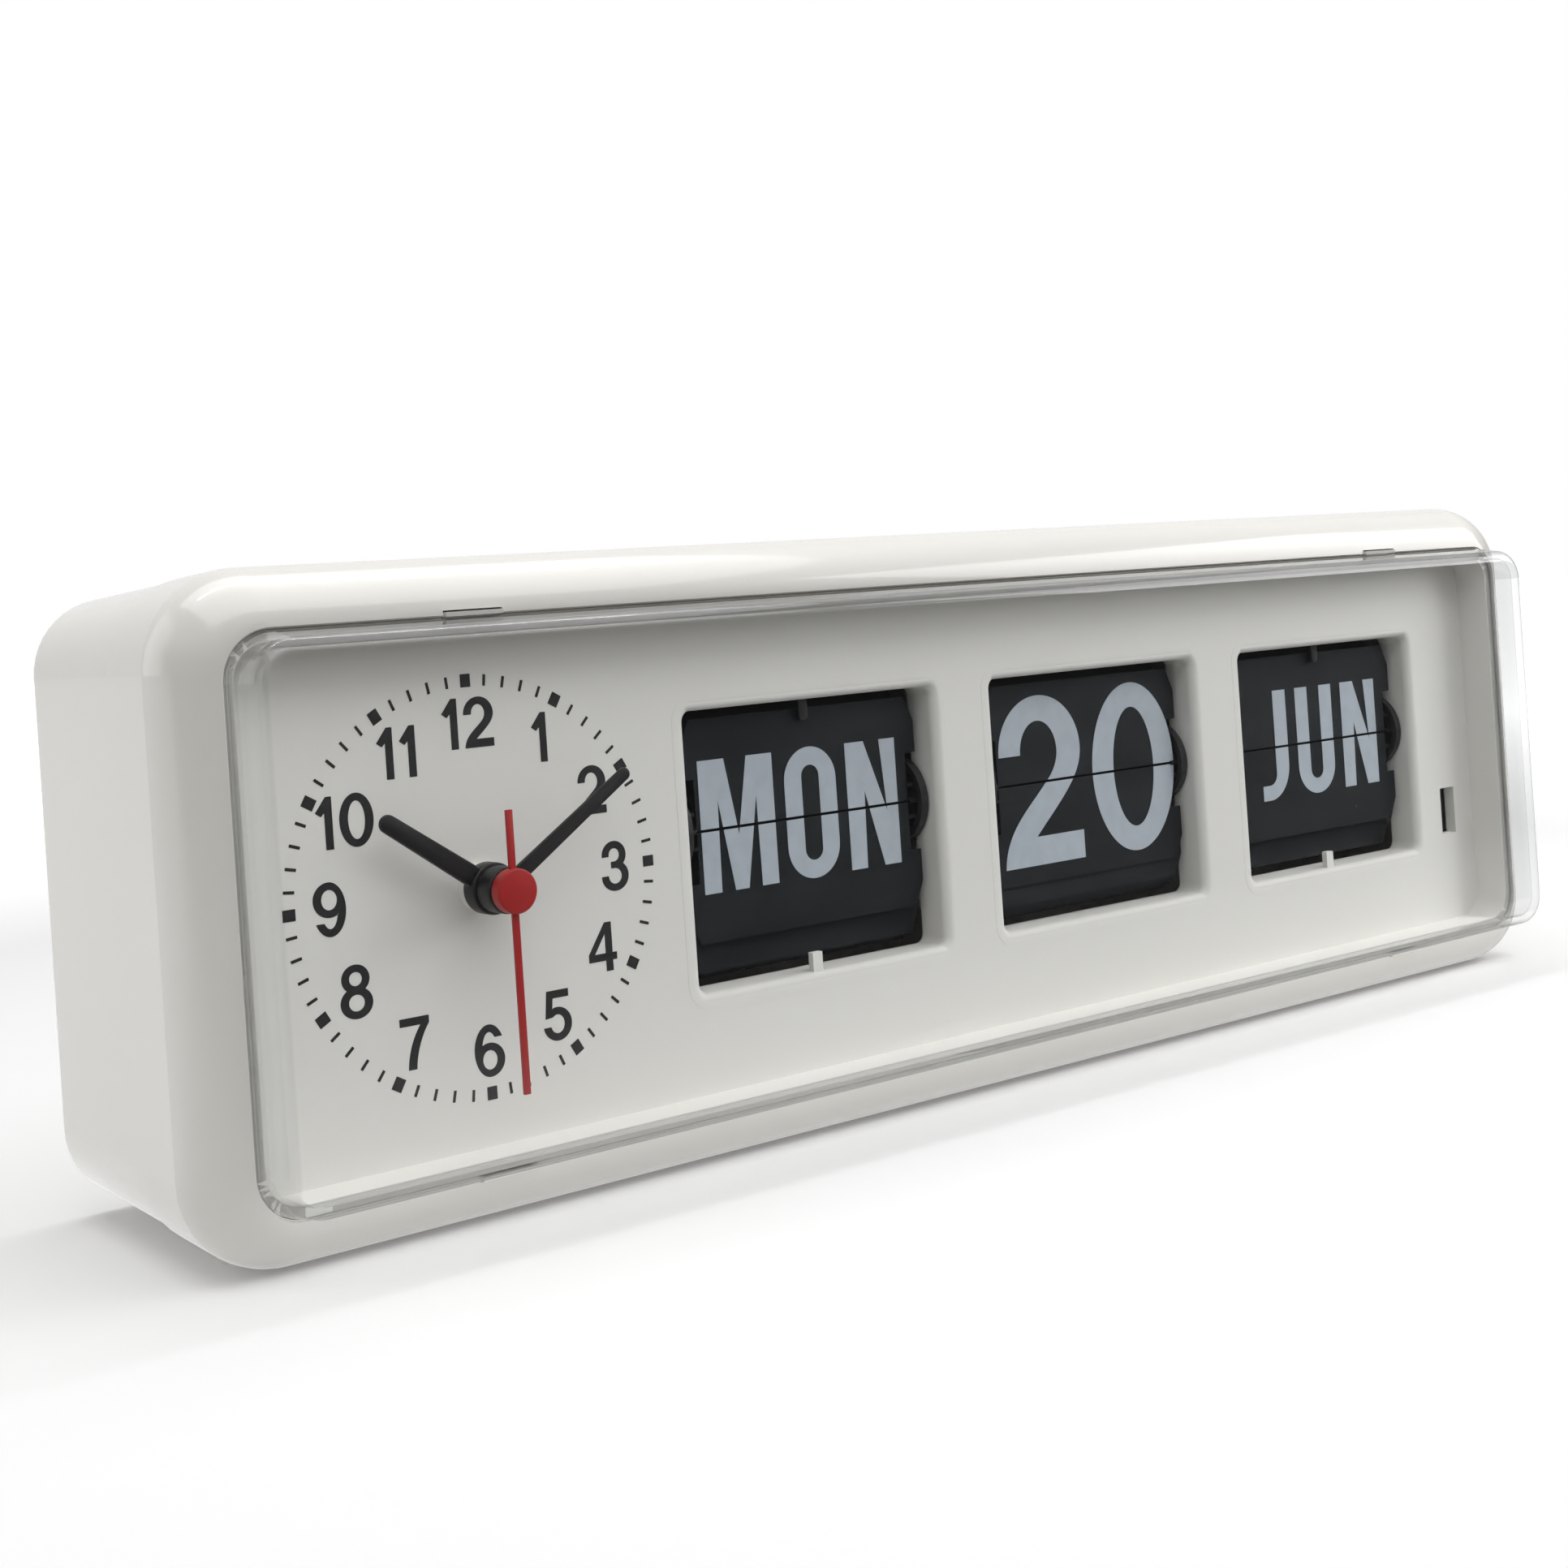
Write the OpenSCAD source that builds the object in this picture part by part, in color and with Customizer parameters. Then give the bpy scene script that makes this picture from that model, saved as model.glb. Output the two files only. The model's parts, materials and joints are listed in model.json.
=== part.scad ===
// Desk clock with an analogue dial and a split flap calendar for day, date and month.
// Row frame: X to the right, Z up, front towards -Y, ground at Z = 0.
// Modules draw in a face frame: x right, y up from mid height, z forward from the dial face.

/* [Case] */
// Width of the case at its widest section
case_w = 388; // [384:1:410]
// Height of the case at its tallest section
case_h = 124; // [123:0.5:134]
// Corner radius of the case seen from the front
case_corner = 18; // [16:0.5:22]
// Radius of the rounded front edge
nose_r = 13; // [12.5:0.25:14.5]
// Front of the case ahead of the dial face
case_front = 10.5; // [10:0.25:12]
// Joint between front case and rear cover, behind the dial face
seam_depth = 20; // [17:0.5:24]
// Back of the case behind the dial face
case_depth = 66; // [65:0.5:74]
// Wall thickness of both case shells
case_wall = 2.5; // [2:0.1:3]
// Taper of the case sides towards the back, in degrees
case_taper = 2.7; // [1:0.1:3]
// Radius of the rear edge
rear_edge_r = 4; // [3:0.25:5]
// Step by which the rear cover is smaller at the joint
seam_step = 0.4; // [0.2:0.1:0.8]
// Height of the rear cover's tongue inside the front case
tongue_h = 5; // [3:0.5:7]
// Thickness of the tongue
tongue_t = 1.4; // [1:0.1:1.8]

/* [Lens] */
// Width of the lens at its base
lens_w = 369.2; // [366:0.2:371]
// Height of the lens at its base
lens_h = 102.4; // [100:0.2:103]
// Corner radius of the lens and its opening
lens_corner = 9; // [8:0.5:11]
// Front of the lens ahead of the dial face
lens_front = 20.4; // [20.4:0.1:24]
// Wall thickness of the lens
lens_wall = 2; // [1.6:0.1:2]
// Inset of the lens front against its base
lens_draft = 1.7; // [1:0.1:2.2]
// Radius of the lens's front edge
lens_edge_r = 3; // [2.6:0.1:3.6]
// Width of a lens tab
tab_w = 12; // [8:0.5:16]
// Thickness of a lens tab
tab_t = 0.8; // [0.6:0.1:1]
// Depth of a lens tab behind the lens base
tab_depth = 5; // [3:0.5:7]
// Distance of the lens tabs from the middle
tab_x = 135; // [120:1:150]

/* [Dial panel] */
// Thickness of the dial panel
panel_t = 3; // [2.6:0.1:3]
// Height of the panel's rim, on which the lens stands
rim_h = 9; // [7:0.5:9.5]
// Thickness of the panel's rim
rim_wall = 2.2; // [2.1:0.1:2.6]
// Dial centre from the middle of the case
dial_x = -131.7; // [-134:0.1:-129]
// Centre of dial and windows above the middle of the case
face_y = -0.5; // [-1:0.1:1]
// Width of the adjusting slot
slot_w = 6; // [4:0.5:7]
// Height of the adjusting slot
slot_h = 12.4; // [9:0.2:15]
// Adjusting slot from the middle of the case
slot_x = 171.6; // [170:0.2:174]
// Adjusting slot below the face centre
slot_drop = 19.7; // [15:0.1:24]
// Width of the ledge that carries the panel
ledge_w = 6; // [5:0.5:8]
// Thickness of the ledge
ledge_t = 2; // [1.6:0.1:3]
// Wall of the opening's tube
tube_wall = 2; // [1.6:0.1:2.4]

/* [Windows] */
// Width of a calendar window
window_w = 70.4; // [68:0.2:72]
// Height of a calendar window
window_h = 57.5; // [55:0.5:60]
// Distance between window centres
window_pitch = 85.75; // [84.5:0.25:88]
// Centre of the middle window
date_x = 38.3; // [37:0.1:40]
// Corner radius of a window
window_corner = 2.5; // [2:0.25:4]
// Rounding of the window's front edge
window_round = 1.4; // [0.8:0.1:2]
// Width of a leaf stop
stop_w = 2.6; // [2:0.1:4]
// Height of a leaf stop
stop_h = 4; // [2:0.25:5]
// Thickness of a leaf stop
stop_t = 1.5; // [1:0.1:2]
// Leaf stop to the left of the window's middle
stop_shift = 3; // [0:0.25:6]

/* [Flap units] */
// Width of a leaf
leaf_w = 64; // [62:0.2:65]
// Length of a leaf from the split line
leaf_l = 23.2; // [21:0.1:23.2]
// Cut corner of a leaf, across
leaf_cut_w = 2.4; // [1:0.1:4]
// Cut corner of a leaf, along
leaf_cut_l = 5.4; // [3:0.1:8]
// Thickness of a leaf
leaf_t = 0.5; // [0.4:0.05:0.5]
// Leaf face behind the dial face
leaf_face = 5.2; // [5.2:0.1:6]
// Split line above the face centre
axis_rise = 3.5; // [2:0.1:5]
// Radius of the circle on which the leaves hang
peg_circle = 8; // [8:0.1:8.5]
// Radius of a leaf peg
peg_r = 0.5; // [0.4:0.05:0.5]
// Radius of a spool's end disc
disc_r = 10; // [9.6:0.1:10.2]
// Thickness of a spool's end disc
disc_t = 2; // [1.8:0.1:2.2]
// Outer radius of the spool's tube
spool_r = 4; // [3.4:0.1:4.5]
// Radius of the spool's axle
axle_r = 2; // [1.6:0.1:2.2]
// Leaves of the day unit, two weeks
day_leaves = 14; // [14]
// Leaves of the date unit
date_leaves = 31; // [31]
// Leaves of the month unit
month_leaves = 12; // [12]
// Teeth of a spool's gear
gear_teeth = 24; // [24]
// Teeth of a motor's pinion
pinion_teeth = 12; // [12]
// Module of the gears
gear_module = 0.75; // [0.7:0.01:0.76]
// Width of the gears
gear_w = 3; // [2.6:0.1:3.2]
// Sheet thickness of a unit's frame
frame_t = 2; // [1.6:0.1:2]
// Height of a unit's side plate
plate_h = 52; // [48:1:56]
// Radius of a step motor
motor_r = 12; // [10:0.5:13]
// Thickness of a step motor
motor_t = 7; // [6:0.1:7.2]

/* [Hands and movement] */
// Hour at rest
rest_hour = 10; // [0:1:11]
// Minute at rest
rest_minute = 9.5; // [0:0.5:59.5]
// Length of the hour hand
hour_len = 27; // [22:0.5:30]
// Width of the hour hand at its tip
hour_w = 3.4; // [2.8:0.1:4]
// Length of the minute hand
minute_len = 35.4; // [30:0.2:38]
// Width of the minute hand at its tip
minute_w = 2.5; // [2:0.1:3]
// Length of the second hand
second_len = 37.6; // [32:0.2:40]
// Length of the second hand's tail
tail_len = 15; // [10:0.5:18]
// Width of the second hand
second_w = 1.4; // [1:0.1:2]
// Radius of the hour hand's boss
hour_boss_r = 4.9; // [4:0.1:5.5]
// Radius of the minute hand's boss
minute_boss_r = 4.4; // [3.6:0.1:5]
// Radius of the second hand's cap
cap_r = 4.2; // [3:0.1:5]
// Width and height of the movement's box
movement_w = 56; // [50:1:60]
// Depth of the movement's box
movement_d = 16; // [14:0.5:17]
// Radius of the movement's bushing
bushing_r = 3.1; // [2.9:0.1:3.5]
// Radius of the collar on the bushing
collar_r = 4.4; // [4:0.1:5]

/* [Back] */
// Radius of the time setting knob
knob_r = 10; // [8:0.5:11]
// Setting knob above the dial centre
knob_rise = 17; // [15:0.5:20]
// Radius of a calendar button
button_r = 4; // [3:0.1:5]
// Height of the buttons above the middle of the case
button_rise = 43; // [42:0.5:45]
// Travel of a calendar button
button_travel = 1.5; // [1:0.1:1.5]
// Radius of the dry cell
cell_r = 16.6; // [16:0.1:17.1]
// Length of the dry cell's body
cell_l = 58; // [56:0.5:59]
// Length of the battery bay
bay_l = 72; // [71:0.5:75]
// Battery bay from the middle of the case
bay_x = -146; // [-147:0.5:-144]
// Battery bay below the middle of the case
bay_drop = 32; // [31:0.5:33]
// Thickness of the battery door
door_t = 2; // [1.8:0.1:2]
// Radius of the door's hinge pins
door_pin_r = 0.8; // [0.6:0.05:0.8]
// Radius of a rubber foot
foot_r = 7; // [5:0.5:8]
// Thickness of a rubber foot
foot_t = 1.5; // [1:0.1:1.8]
// Distance of the feet from the middle
foot_x = 150; // [120:1:165]
// Radius of a case screw's shank
screw_r = 1.25; // [1:0.05:1.5]

/* [Fits] */
// Gap of pieces that slide past or lie beside each other
slide_gap = 0.3; // [0.2:0.05:0.3]
// Radial clearance of a turning shaft
run_gap = 0.05; // [0.03:0.01:0.08]

/* [Hidden] */
$fn = 64;

white = [0.93, 0.92, 0.89];
black = [0.1, 0.11, 0.12];
leaf_black = [0.15, 0.17, 0.19];
red = [0.62, 0.1, 0.1];
steel = [0.7, 0.71, 0.73];

eps = 0.01;

// Flap units: widths from the leaf outwards
disc_inset = 0.7;
disc_gap = 1.2;
gear_gap = 1;
disc_in = leaf_w / 2 - disc_inset;
disc_out = disc_in + disc_t;
gear_x = disc_out + disc_gap;
plate_left = disc_out + disc_gap;
plate_right = gear_x + gear_w + gear_gap;
plate_out = plate_right + frame_t;
unit_xs = [for (i = [-1:1]) date_x + i * window_pitch];

// Depths of the flap units: angle 0 of the peg circle is the hinge line of the leaf that falls
leaf_offset = 0.1;
unit_leaves = [day_leaves, date_leaves, month_leaves];
axis_y = face_y + axis_rise;
hinge_z = leaf_offset - leaf_face;
spool_z = hinge_z - peg_circle;
notch_half = disc_r + 0.8;
ear_half = disc_in - slide_gap;
neck_half = ear_half - 2;
ear_h = 0.75;
split_gap = 0.25;
groove_depth = 1.2;
groove_gap = 0.1;
peg_end = disc_in + groove_depth - 0.2;
fan_clear = 20;
gear_r = gear_module * gear_teeth / 2;
pinion_r = gear_module * pinion_teeth / 2;
pinion_z = spool_z - gear_r - pinion_r;
plate_front = panel_t + slide_gap;
fan_gap = 1.7;
bar_z = spool_z - peg_circle - leaf_l - fan_gap;
bar_back = bar_z - frame_t;
bar_h = 20;
foot_tab = 6.5;
foot_tab_h = 8;
foot_lift = 3;
foot_drop = 20;
unit_boss_r = 3;
unit_screw_r = 0.95;
unit_head_r = 2.2;
unit_head_h = 1.5;
pinion_shaft_r = 1.5;
axle_over = 1;
motor_bore_l = 4;

// Places of the whole: the box of the part is centred on the origin
mid_z = case_h / 2;
panel_y = (lens_front - case_depth) / 2;

// Case sections
nose_z = case_front - nose_r;
slope = tan(case_taper);
seam_inset = slope * (nose_z + seam_depth);
rear_inset = slope * (nose_z + case_depth - rear_edge_r) + seam_step;
rear_inner = case_depth - case_wall;
opening_w = lens_w + 2 * slide_gap;
opening_h = lens_h + 2 * slide_gap;
opening_corner = lens_corner + slide_gap;
tube_front = case_front - 2;
ledge_back = panel_t + ledge_t;

// Battery bay and its door
bay_wall = 2;
bay_y = -bay_drop;
bay_half_h = cell_r + 1;
cell_back = 2.9;
cell_front = 1.4;
cell_z = cell_r + cell_back - case_depth;
bay_front = -cell_z - cell_r - cell_front;
door_rim_x = 3;
door_rim_y = 2.9;
door_l = bay_l + 2 * door_rim_x;
door_h = 2 * (bay_half_h + door_rim_y);
door_gap = 0.3;
door_seat = 0.05;
door_face = case_depth - 0.25;
door_hinge_x = bay_x - door_l / 2 + door_t / 2;
door_hinge_z = door_t / 2 - door_face;
door_pin_l = 3;
door_floor = 2;
nub_r = 4.5;
nub_l = 2.5;
contact_t = 0.6;
contact_w = 14;
strip_w = 8;
strip_half = 6;
strip_t = 0.8;

// Screws between the shells
boss_r = 3.6;
boss_in = 3.2;
boss_end = 8.6;
tower_r = 4.4;
tower_bay_gap = 11.6;
head_r = 2.7;
head_h = 2.4;
tower_floor = 2.6;
tower_gap = 0.1;
screw_l = 14;
drive_w = 0.6;
boss_x = lens_w / 2 - boss_end;
boss_y = lens_h / 2 - boss_in;
boss_places = [[-boss_x, boss_y], [boss_x, boss_y], [boss_x, -boss_y],
               [bay_x + bay_l / 2 + bay_wall + tower_r + tower_bay_gap, -boss_y]];

// Lens section: the slanted wall, and the centre of the rounded front edge
lens_k = lens_draft / (lens_front - rim_h);
lens_lean = sqrt(1 + lens_k * lens_k);
edge_u = -lens_k * (lens_front - lens_edge_r - rim_h) - lens_edge_r * lens_lean;
edge_z = lens_front - lens_edge_r;
plate_in = 1 - edge_u;
tab_gap = 0.1;
tab_root = 2;

// Buttons and control board, carried by the rear cover above the flap units
button_reach = 5;
button_end = button_reach - rear_inner;
button_lip = 1.2;
button_lip_r = button_r + 1.2;
button_sink = 0.3;
dish_r = 9;
dish_depth = 1.5;
switch_w = 6;
switch_h = 3.5;
plunger_r = 1.7;
plunger_l = 1.4;
plunger_end = button_end + button_travel + slide_gap;
board_t = 1.6;
board_low = 9;
board_edge = 10;
board_top = case_h / 2 - board_edge;
board_h = board_top - button_rise + board_low;
board_over = 30;
board_back = plunger_end + plunger_l + switch_h;
board_post_r = 3;
board_post_x = 22;

// Movement and hands
hour_angle = 30 * (rest_hour + rest_minute / 60);
minute_angle = 6 * rest_minute;
second_angle = 360 * (rest_minute - floor(rest_minute));
collar_h = 2.2;
hour_tube_r = 2.3;
minute_pipe_r = 1.55;
second_arbor_r = 0.7;
hour_tube_end = -6;
minute_pipe_end = -8;
second_arbor_end = -10;
hour_z = 4.2;
hour_t = 1.2;
hour_taper = 0.8;
minute_z = 8.2;
minute_t = 1;
minute_taper = 0.7;
second_z = 12.2;
second_t = 0.7;
hour_back = collar_h + slide_gap;
hour_front = 6.2;
minute_back = hour_front + slide_gap;
minute_front = 11.1;
cap_back = minute_front + slide_gap;
cap_front = 14.2;
arbor_depth = 12;

// Time knob and feet
knob_y = face_y + knob_rise;
knob_gap = 2;
knob_sink = 0.5;
cup_depth = 6;
cup_wall = 1.5;
cup_floor = 2;
knob_shaft_r = 2;
knob_socket = 4;
notch_r = 1.6;
foot_in = 14;
foot_z = foot_in - case_depth;
pad_r = foot_r + 1;

// Placement from the face frame to the row frame
module face() {
    translate([0, panel_y, mid_z]) rotate([90, 0, 0]) children();
}

// Turns an upright profile so that it is drawn along x
module along_x(from, length) {
    translate([from, 0, 0]) rotate([90, 0, 90]) linear_extrude(length) children();
}

// Cylinder along x at a height and depth of the face frame
module rod_x(r, from, length, y, z) {
    translate([from, y, z]) rotate([0, 90, 0]) cylinder(r = r, h = length);
}

// Cylinder along z between two depths
module post(r, from, to) {
    translate([0, 0, from]) cylinder(r = r, h = to - from);
}

module rounded_rect(w, h, r) {
    square([w - 2 * r, h], center = true);
    square([w, h - 2 * r], center = true);
    for (x = [-1, 1], y = [-1, 1]) translate([x * (w / 2 - r), y * (h / 2 - r)]) circle(r);
}

module slab(w, h, r, from, to) {
    translate([0, 0, from]) linear_extrude(to - from) rounded_rect(w, h, r);
}

// Sweeps a profile (x outward, y forward) round a rounded rectangle
module sweep(w, h, r) {
    for (a = [0, 180]) rotate(a) translate([0, h / 2, 0]) along_x(r - w / 2, w - 2 * r) children();
    for (a = [90, 270]) rotate(a) translate([0, w / 2, 0]) along_x(r - h / 2, h - 2 * r) children();
    for (i = [0:3]) {
        sx = (i == 0 || i == 3) ? 1 : -1;
        sy = (i < 2) ? 1 : -1;
        translate([sx * (w / 2 - r), sy * (h / 2 - r), 0])
            rotate(90 * i) rotate_extrude(angle = 90) translate([r, 0]) children();
    }
}

// Quarter of a disc, from straight forward to straight outward
module quarter(r) {
    intersection() {
        circle(r);
        square(r);
    }
}

// Half of the front case's section, solid, drawn in by an inset
module nose_section(inset) {
    translate([-nose_r, nose_z]) quarter(nose_r - inset);
    polygon([[-nose_r, nose_z], [-inset, nose_z], [-inset - seam_inset, -seam_depth],
             [-nose_r, -seam_depth]]);
}

module nose_skin() {
    difference() {
        nose_section(0);
        nose_section(case_wall);
    }
}

// Front case: rounded skin, tube of the opening, ledge for the panel and screw bosses
module front_case() {
    color(white) face() difference() {
        union() {
            sweep(case_w, case_h, case_corner) nose_skin();
            translate([0, face_y, 0]) difference() {
                slab(opening_w + 2 * tube_wall, opening_h + 2 * tube_wall, opening_corner + tube_wall,
                     -ledge_back, tube_front);
                slab(lens_w - 2 * ledge_w, lens_h - 2 * ledge_w, lens_corner,
                     -ledge_back - 1, tube_front + 1);
            }
            for (p = boss_places) translate([p[0], p[1] + face_y, 0])
                post(boss_r, -seam_depth, -panel_t - ledge_t / 2);
        }
        translate([0, face_y, 0]) slab(opening_w, opening_h, opening_corner, -panel_t, case_front + 1);
        for (p = boss_places) translate([p[0], p[1] + face_y, 0])
            post(screw_r + run_gap, -seam_depth - 1, -seam_depth + screw_l);
        lens_tab_places() tab_notch();
    }
}

// Four places round the opening, each with y outward from the lens base
module lens_tab_places() {
    for (x = [-1, 1], a = [0, 180])
        translate([x * tab_x, face_y, 0]) rotate(a) translate([0, lens_h / 2, 0]) children();
}

module tab_notch() {
    notch_w = tab_w + 2 * slide_gap;
    notch_back = rim_h - tab_depth - slide_gap;
    translate([-notch_w / 2, 0, notch_back]) cube([notch_w, tab_gap + tab_t + slide_gap, case_front]);
}

// Half of the rear cover's section, solid, drawn in by an inset
module back_section(inset) {
    edge = rear_edge_r - inset;
    u = -rear_inset - rear_edge_r;
    v = -case_depth + rear_edge_r;
    translate([u, v]) mirror([0, 1]) quarter(edge);
    polygon([[-case_corner + 1, v], [-rear_inset - inset, v],
             [-seam_inset - seam_step - inset, -seam_depth], [-case_corner + 1, -seam_depth]]);
    translate([-case_corner + 1, -case_depth + inset])
        square([case_corner - 1 + u, rear_edge_r - inset]);
}

module back_skin() {
    tongue_u = -seam_inset - case_wall - slide_gap;
    difference() {
        back_section(0);
        back_section(case_wall);
        translate([-case_corner, -rear_inner]) square([1.5, case_depth]);
    }
    polygon([[tongue_u - tongue_t, -seam_depth - 2], [tongue_u + case_wall / 2, -seam_depth - 2],
             [tongue_u + case_wall / 2, -seam_depth], [tongue_u, -seam_depth],
             [tongue_u + slope * tongue_h, -seam_depth + tongue_h],
             [tongue_u + slope * tongue_h - tongue_t, -seam_depth + tongue_h]]);
}

// Rear cover: shell, battery bay, knob cup, screw towers and foot pads
module rear_cover() {
    inner = case_corner - 2;
    color(white) face() difference() {
        union() {
            sweep(case_w, case_h, case_corner) back_skin();
            slab(case_w - 2 * inner, case_h - 2 * inner, case_corner - inner, -case_depth, -rear_inner);
            for (p = boss_places) translate([p[0], p[1] + face_y, 0])
                post(tower_r, -rear_inner - eps, -seam_depth - tower_gap);
            bay_box();
            translate([dial_x, knob_y, 0])
                post(knob_r + knob_gap + cup_wall, -rear_inner - eps, -case_depth + cup_depth + cup_floor);
            for (x = [-1, 1]) translate([x * foot_x, 0, foot_z]) foot_pad();
            for (x = unit_xs, side = [-1, 1]) translate([x + side * board_post_x, button_rise, 0])
                post(board_post_r, -rear_inner - eps, board_back);
        }
        for (p = boss_places) translate([p[0], p[1] + face_y, 0]) {
            post(screw_r + slide_gap, -case_depth - 1, -seam_depth + 1);
            post(head_r + slide_gap, -case_depth - 1, -seam_depth - tower_gap - tower_floor);
        }
        bay_cut();
        translate([dial_x, knob_y, 0]) {
            post(knob_r + knob_gap, -case_depth - 1, -case_depth + cup_depth);
            post(knob_shaft_r + run_gap, -case_depth - 1, 0);
        }
        for (x = unit_xs) translate([x, button_rise, 0]) {
            post(dish_r, -case_depth - 1, -case_depth + dish_depth);
            post(button_r + 2 * run_gap, -case_depth - 1, -rear_inner + 1);
        }
    }
}

module bay_box() {
    translate([bay_x, bay_y, 0]) {
        slab(bay_l + 2 * bay_wall, 2 * (bay_half_h + bay_wall), 2, -rear_inner - eps, -bay_front + bay_wall);
        slab(door_l + 2, door_h + 2, 2, -rear_inner - eps, -door_face + door_t + door_floor);
    }
}

module bay_cut() {
    translate([bay_x, bay_y, 0]) {
        slab(bay_l, 2 * bay_half_h, 1, -case_depth - 1, -bay_front);
        translate([-door_l / 2 - door_gap, -door_h / 2 - door_gap, -case_depth - 1])
            cube([door_l + 2 * door_gap, door_h + 2 * door_gap,
                  1 + case_depth - door_face + door_t + door_seat]);
    }
    door_pins(run_gap);
}

// Both hinge pins of the battery door, or their holes when grown by a clearance
module door_pins(grow) {
    for (s = [-1, 1]) translate([door_hinge_x, bay_y + s * (door_h / 2 + 0.2), door_hinge_z])
        rotate([90, 0, 0]) cylinder(r = door_pin_r + grow, h = door_pin_l + 2 * grow, center = true);
}

module foot_pad() {
    rotate([-90, 0, 0]) translate([0, 0, -case_h / 2 + foot_t])
        cylinder(r = pad_r, h = rear_inset + case_wall - foot_t);
}

module rear_feet() {
    color([0.2, 0.2, 0.2]) face() for (x = [-1, 1])
        translate([x * foot_x, 0, foot_z]) rotate([-90, 0, 0]) translate([0, 0, -case_h / 2])
            cylinder(r = foot_r, h = foot_t);
}

// Lens section drawn in by an inset, from the base to the front
module lens_section(inset) {
    nx = 1 / lens_lean;
    r = lens_edge_r - inset;
    left = -plate_in;
    base_u = -inset * lens_lean;
    translate([edge_u, edge_z]) circle(r);
    polygon([[left, rim_h], [base_u, rim_h], [edge_u + r * nx, edge_z + r * nx * lens_k],
             [edge_u, edge_z], [edge_u, edge_z + r], [left, edge_z + r]]);
}

module lens() {
    color([0.85, 0.9, 0.92, 0.35]) face() translate([0, face_y, 0]) {
        sweep(lens_w, lens_h, lens_corner) difference() {
            lens_section(0);
            lens_section(lens_wall);
            translate([edge_u - lens_edge_r - 1, rim_h - 1])
                square([lens_edge_r + 1, lens_front - lens_wall - rim_h + 1]);
            translate([-case_corner, rim_h - 1]) square([case_corner - lens_wall * lens_lean, 1 + eps]);
        }
        slab(lens_w - 2 * plate_in + 2 * eps, lens_h - 2 * plate_in + 2 * eps, lens_corner - plate_in + eps,
             lens_front - lens_wall, lens_front);
    }
    color([0.85, 0.9, 0.92, 0.35]) face() lens_tab_places() lens_tab();
}

module lens_tab() {
    translate([-tab_w / 2, tab_gap, rim_h - tab_depth]) cube([tab_w, tab_t, tab_depth + tab_root]);
    translate([-tab_w / 2, -lens_wall / 2, rim_h]) cube([tab_w, tab_gap + tab_t + lens_wall / 2, tab_root]);
}

// Dial panel: a tray with a rim, three windows, the dial's hole and the adjusting slot
module dial_panel() {
    color(white) face() translate([0, face_y, 0]) difference() {
        union() {
            slab(lens_w, lens_h, lens_corner, -panel_t, 0);
            difference() {
                slab(lens_w, lens_h, lens_corner, -eps, rim_h);
                slab(lens_w - 2 * rim_wall, lens_h - 2 * rim_wall, lens_corner - rim_wall, 0, rim_h + 1);
            }
            for (x = unit_xs) unit_feet(x) post(unit_boss_r, -panel_t - foot_lift, -panel_t + eps);
        }
        for (x = unit_xs) translate([x, 0, 0]) window_cut();
        translate([dial_x, 0, 0]) post(bushing_r + run_gap, -panel_t - 1, 1);
        translate([slot_x - slot_w / 2, -slot_drop - slot_h / 2, -panel_t - 1])
            cube([slot_w, slot_h, panel_t + 2]);
        for (x = unit_xs) unit_feet(x) post(unit_screw_r + run_gap, -panel_t - foot_lift - 1, -panel_t / 2);
    }
    color(white) face() for (x = [unit_xs[0], unit_xs[2]])
        translate([x - stop_shift - stop_w / 2, face_y - window_h / 2 - 1, -panel_t / 2 - stop_t / 2])
            cube([stop_w, stop_h + 1, stop_t]);
}

module window_cut() {
    slab(window_w, window_h, window_corner, -panel_t - 1, 1);
    sweep(window_w, window_h, window_corner) difference() {
        translate([-eps, -window_round]) square([window_round + eps, window_round + 1]);
        translate([window_round, -window_round]) circle(window_round);
    }
}

// Two feet of a unit, measured from the face centre
module unit_feet(x) {
    translate([x - plate_left - frame_t - foot_tab / 2, axis_rise + foot_drop, 0]) children();
    translate([x + plate_out + foot_tab / 2, axis_rise - foot_drop, 0]) children();
}

// Frame of a flap unit: two side plates, a back bar and two feet
module unit_frame(x) {
    foot_back = -panel_t - foot_lift - frame_t;
    color(white) face() difference() {
        union() {
            for (px = [x - plate_left - frame_t, x + plate_right])
                translate([px, axis_y - plate_h / 2, bar_back])
                    cube([frame_t, plate_h, -plate_front - bar_back]);
            translate([x - plate_left - frame_t, axis_y - bar_h / 2, bar_back])
                cube([plate_left + plate_out + frame_t, bar_h, frame_t]);
            translate([x - plate_left - frame_t - foot_tab, axis_y + foot_drop - foot_tab_h / 2, foot_back])
                cube([foot_tab + eps, foot_tab_h, frame_t]);
            translate([x + plate_out - eps, axis_y - foot_drop - foot_tab_h / 2, foot_back])
                cube([foot_tab + eps, foot_tab_h, frame_t]);
        }
        rod_x(axle_r + run_gap, x - plate_left - frame_t - 1,
              plate_left + plate_out + frame_t + 2, axis_y, spool_z);
        rod_x(pinion_shaft_r + 0.5, x + plate_right - 1, frame_t + 2, axis_y, pinion_z);
        translate([0, face_y, 0]) unit_feet(x) post(unit_screw_r + 0.15, foot_back - 1, 0);
    }
}

module unit_axle(x) {
    color(steel) face()
        rod_x(axle_r, x - plate_left - frame_t - axle_over, plate_left + frame_t + axle_over + plate_out,
              axis_y, spool_z);
}

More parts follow.
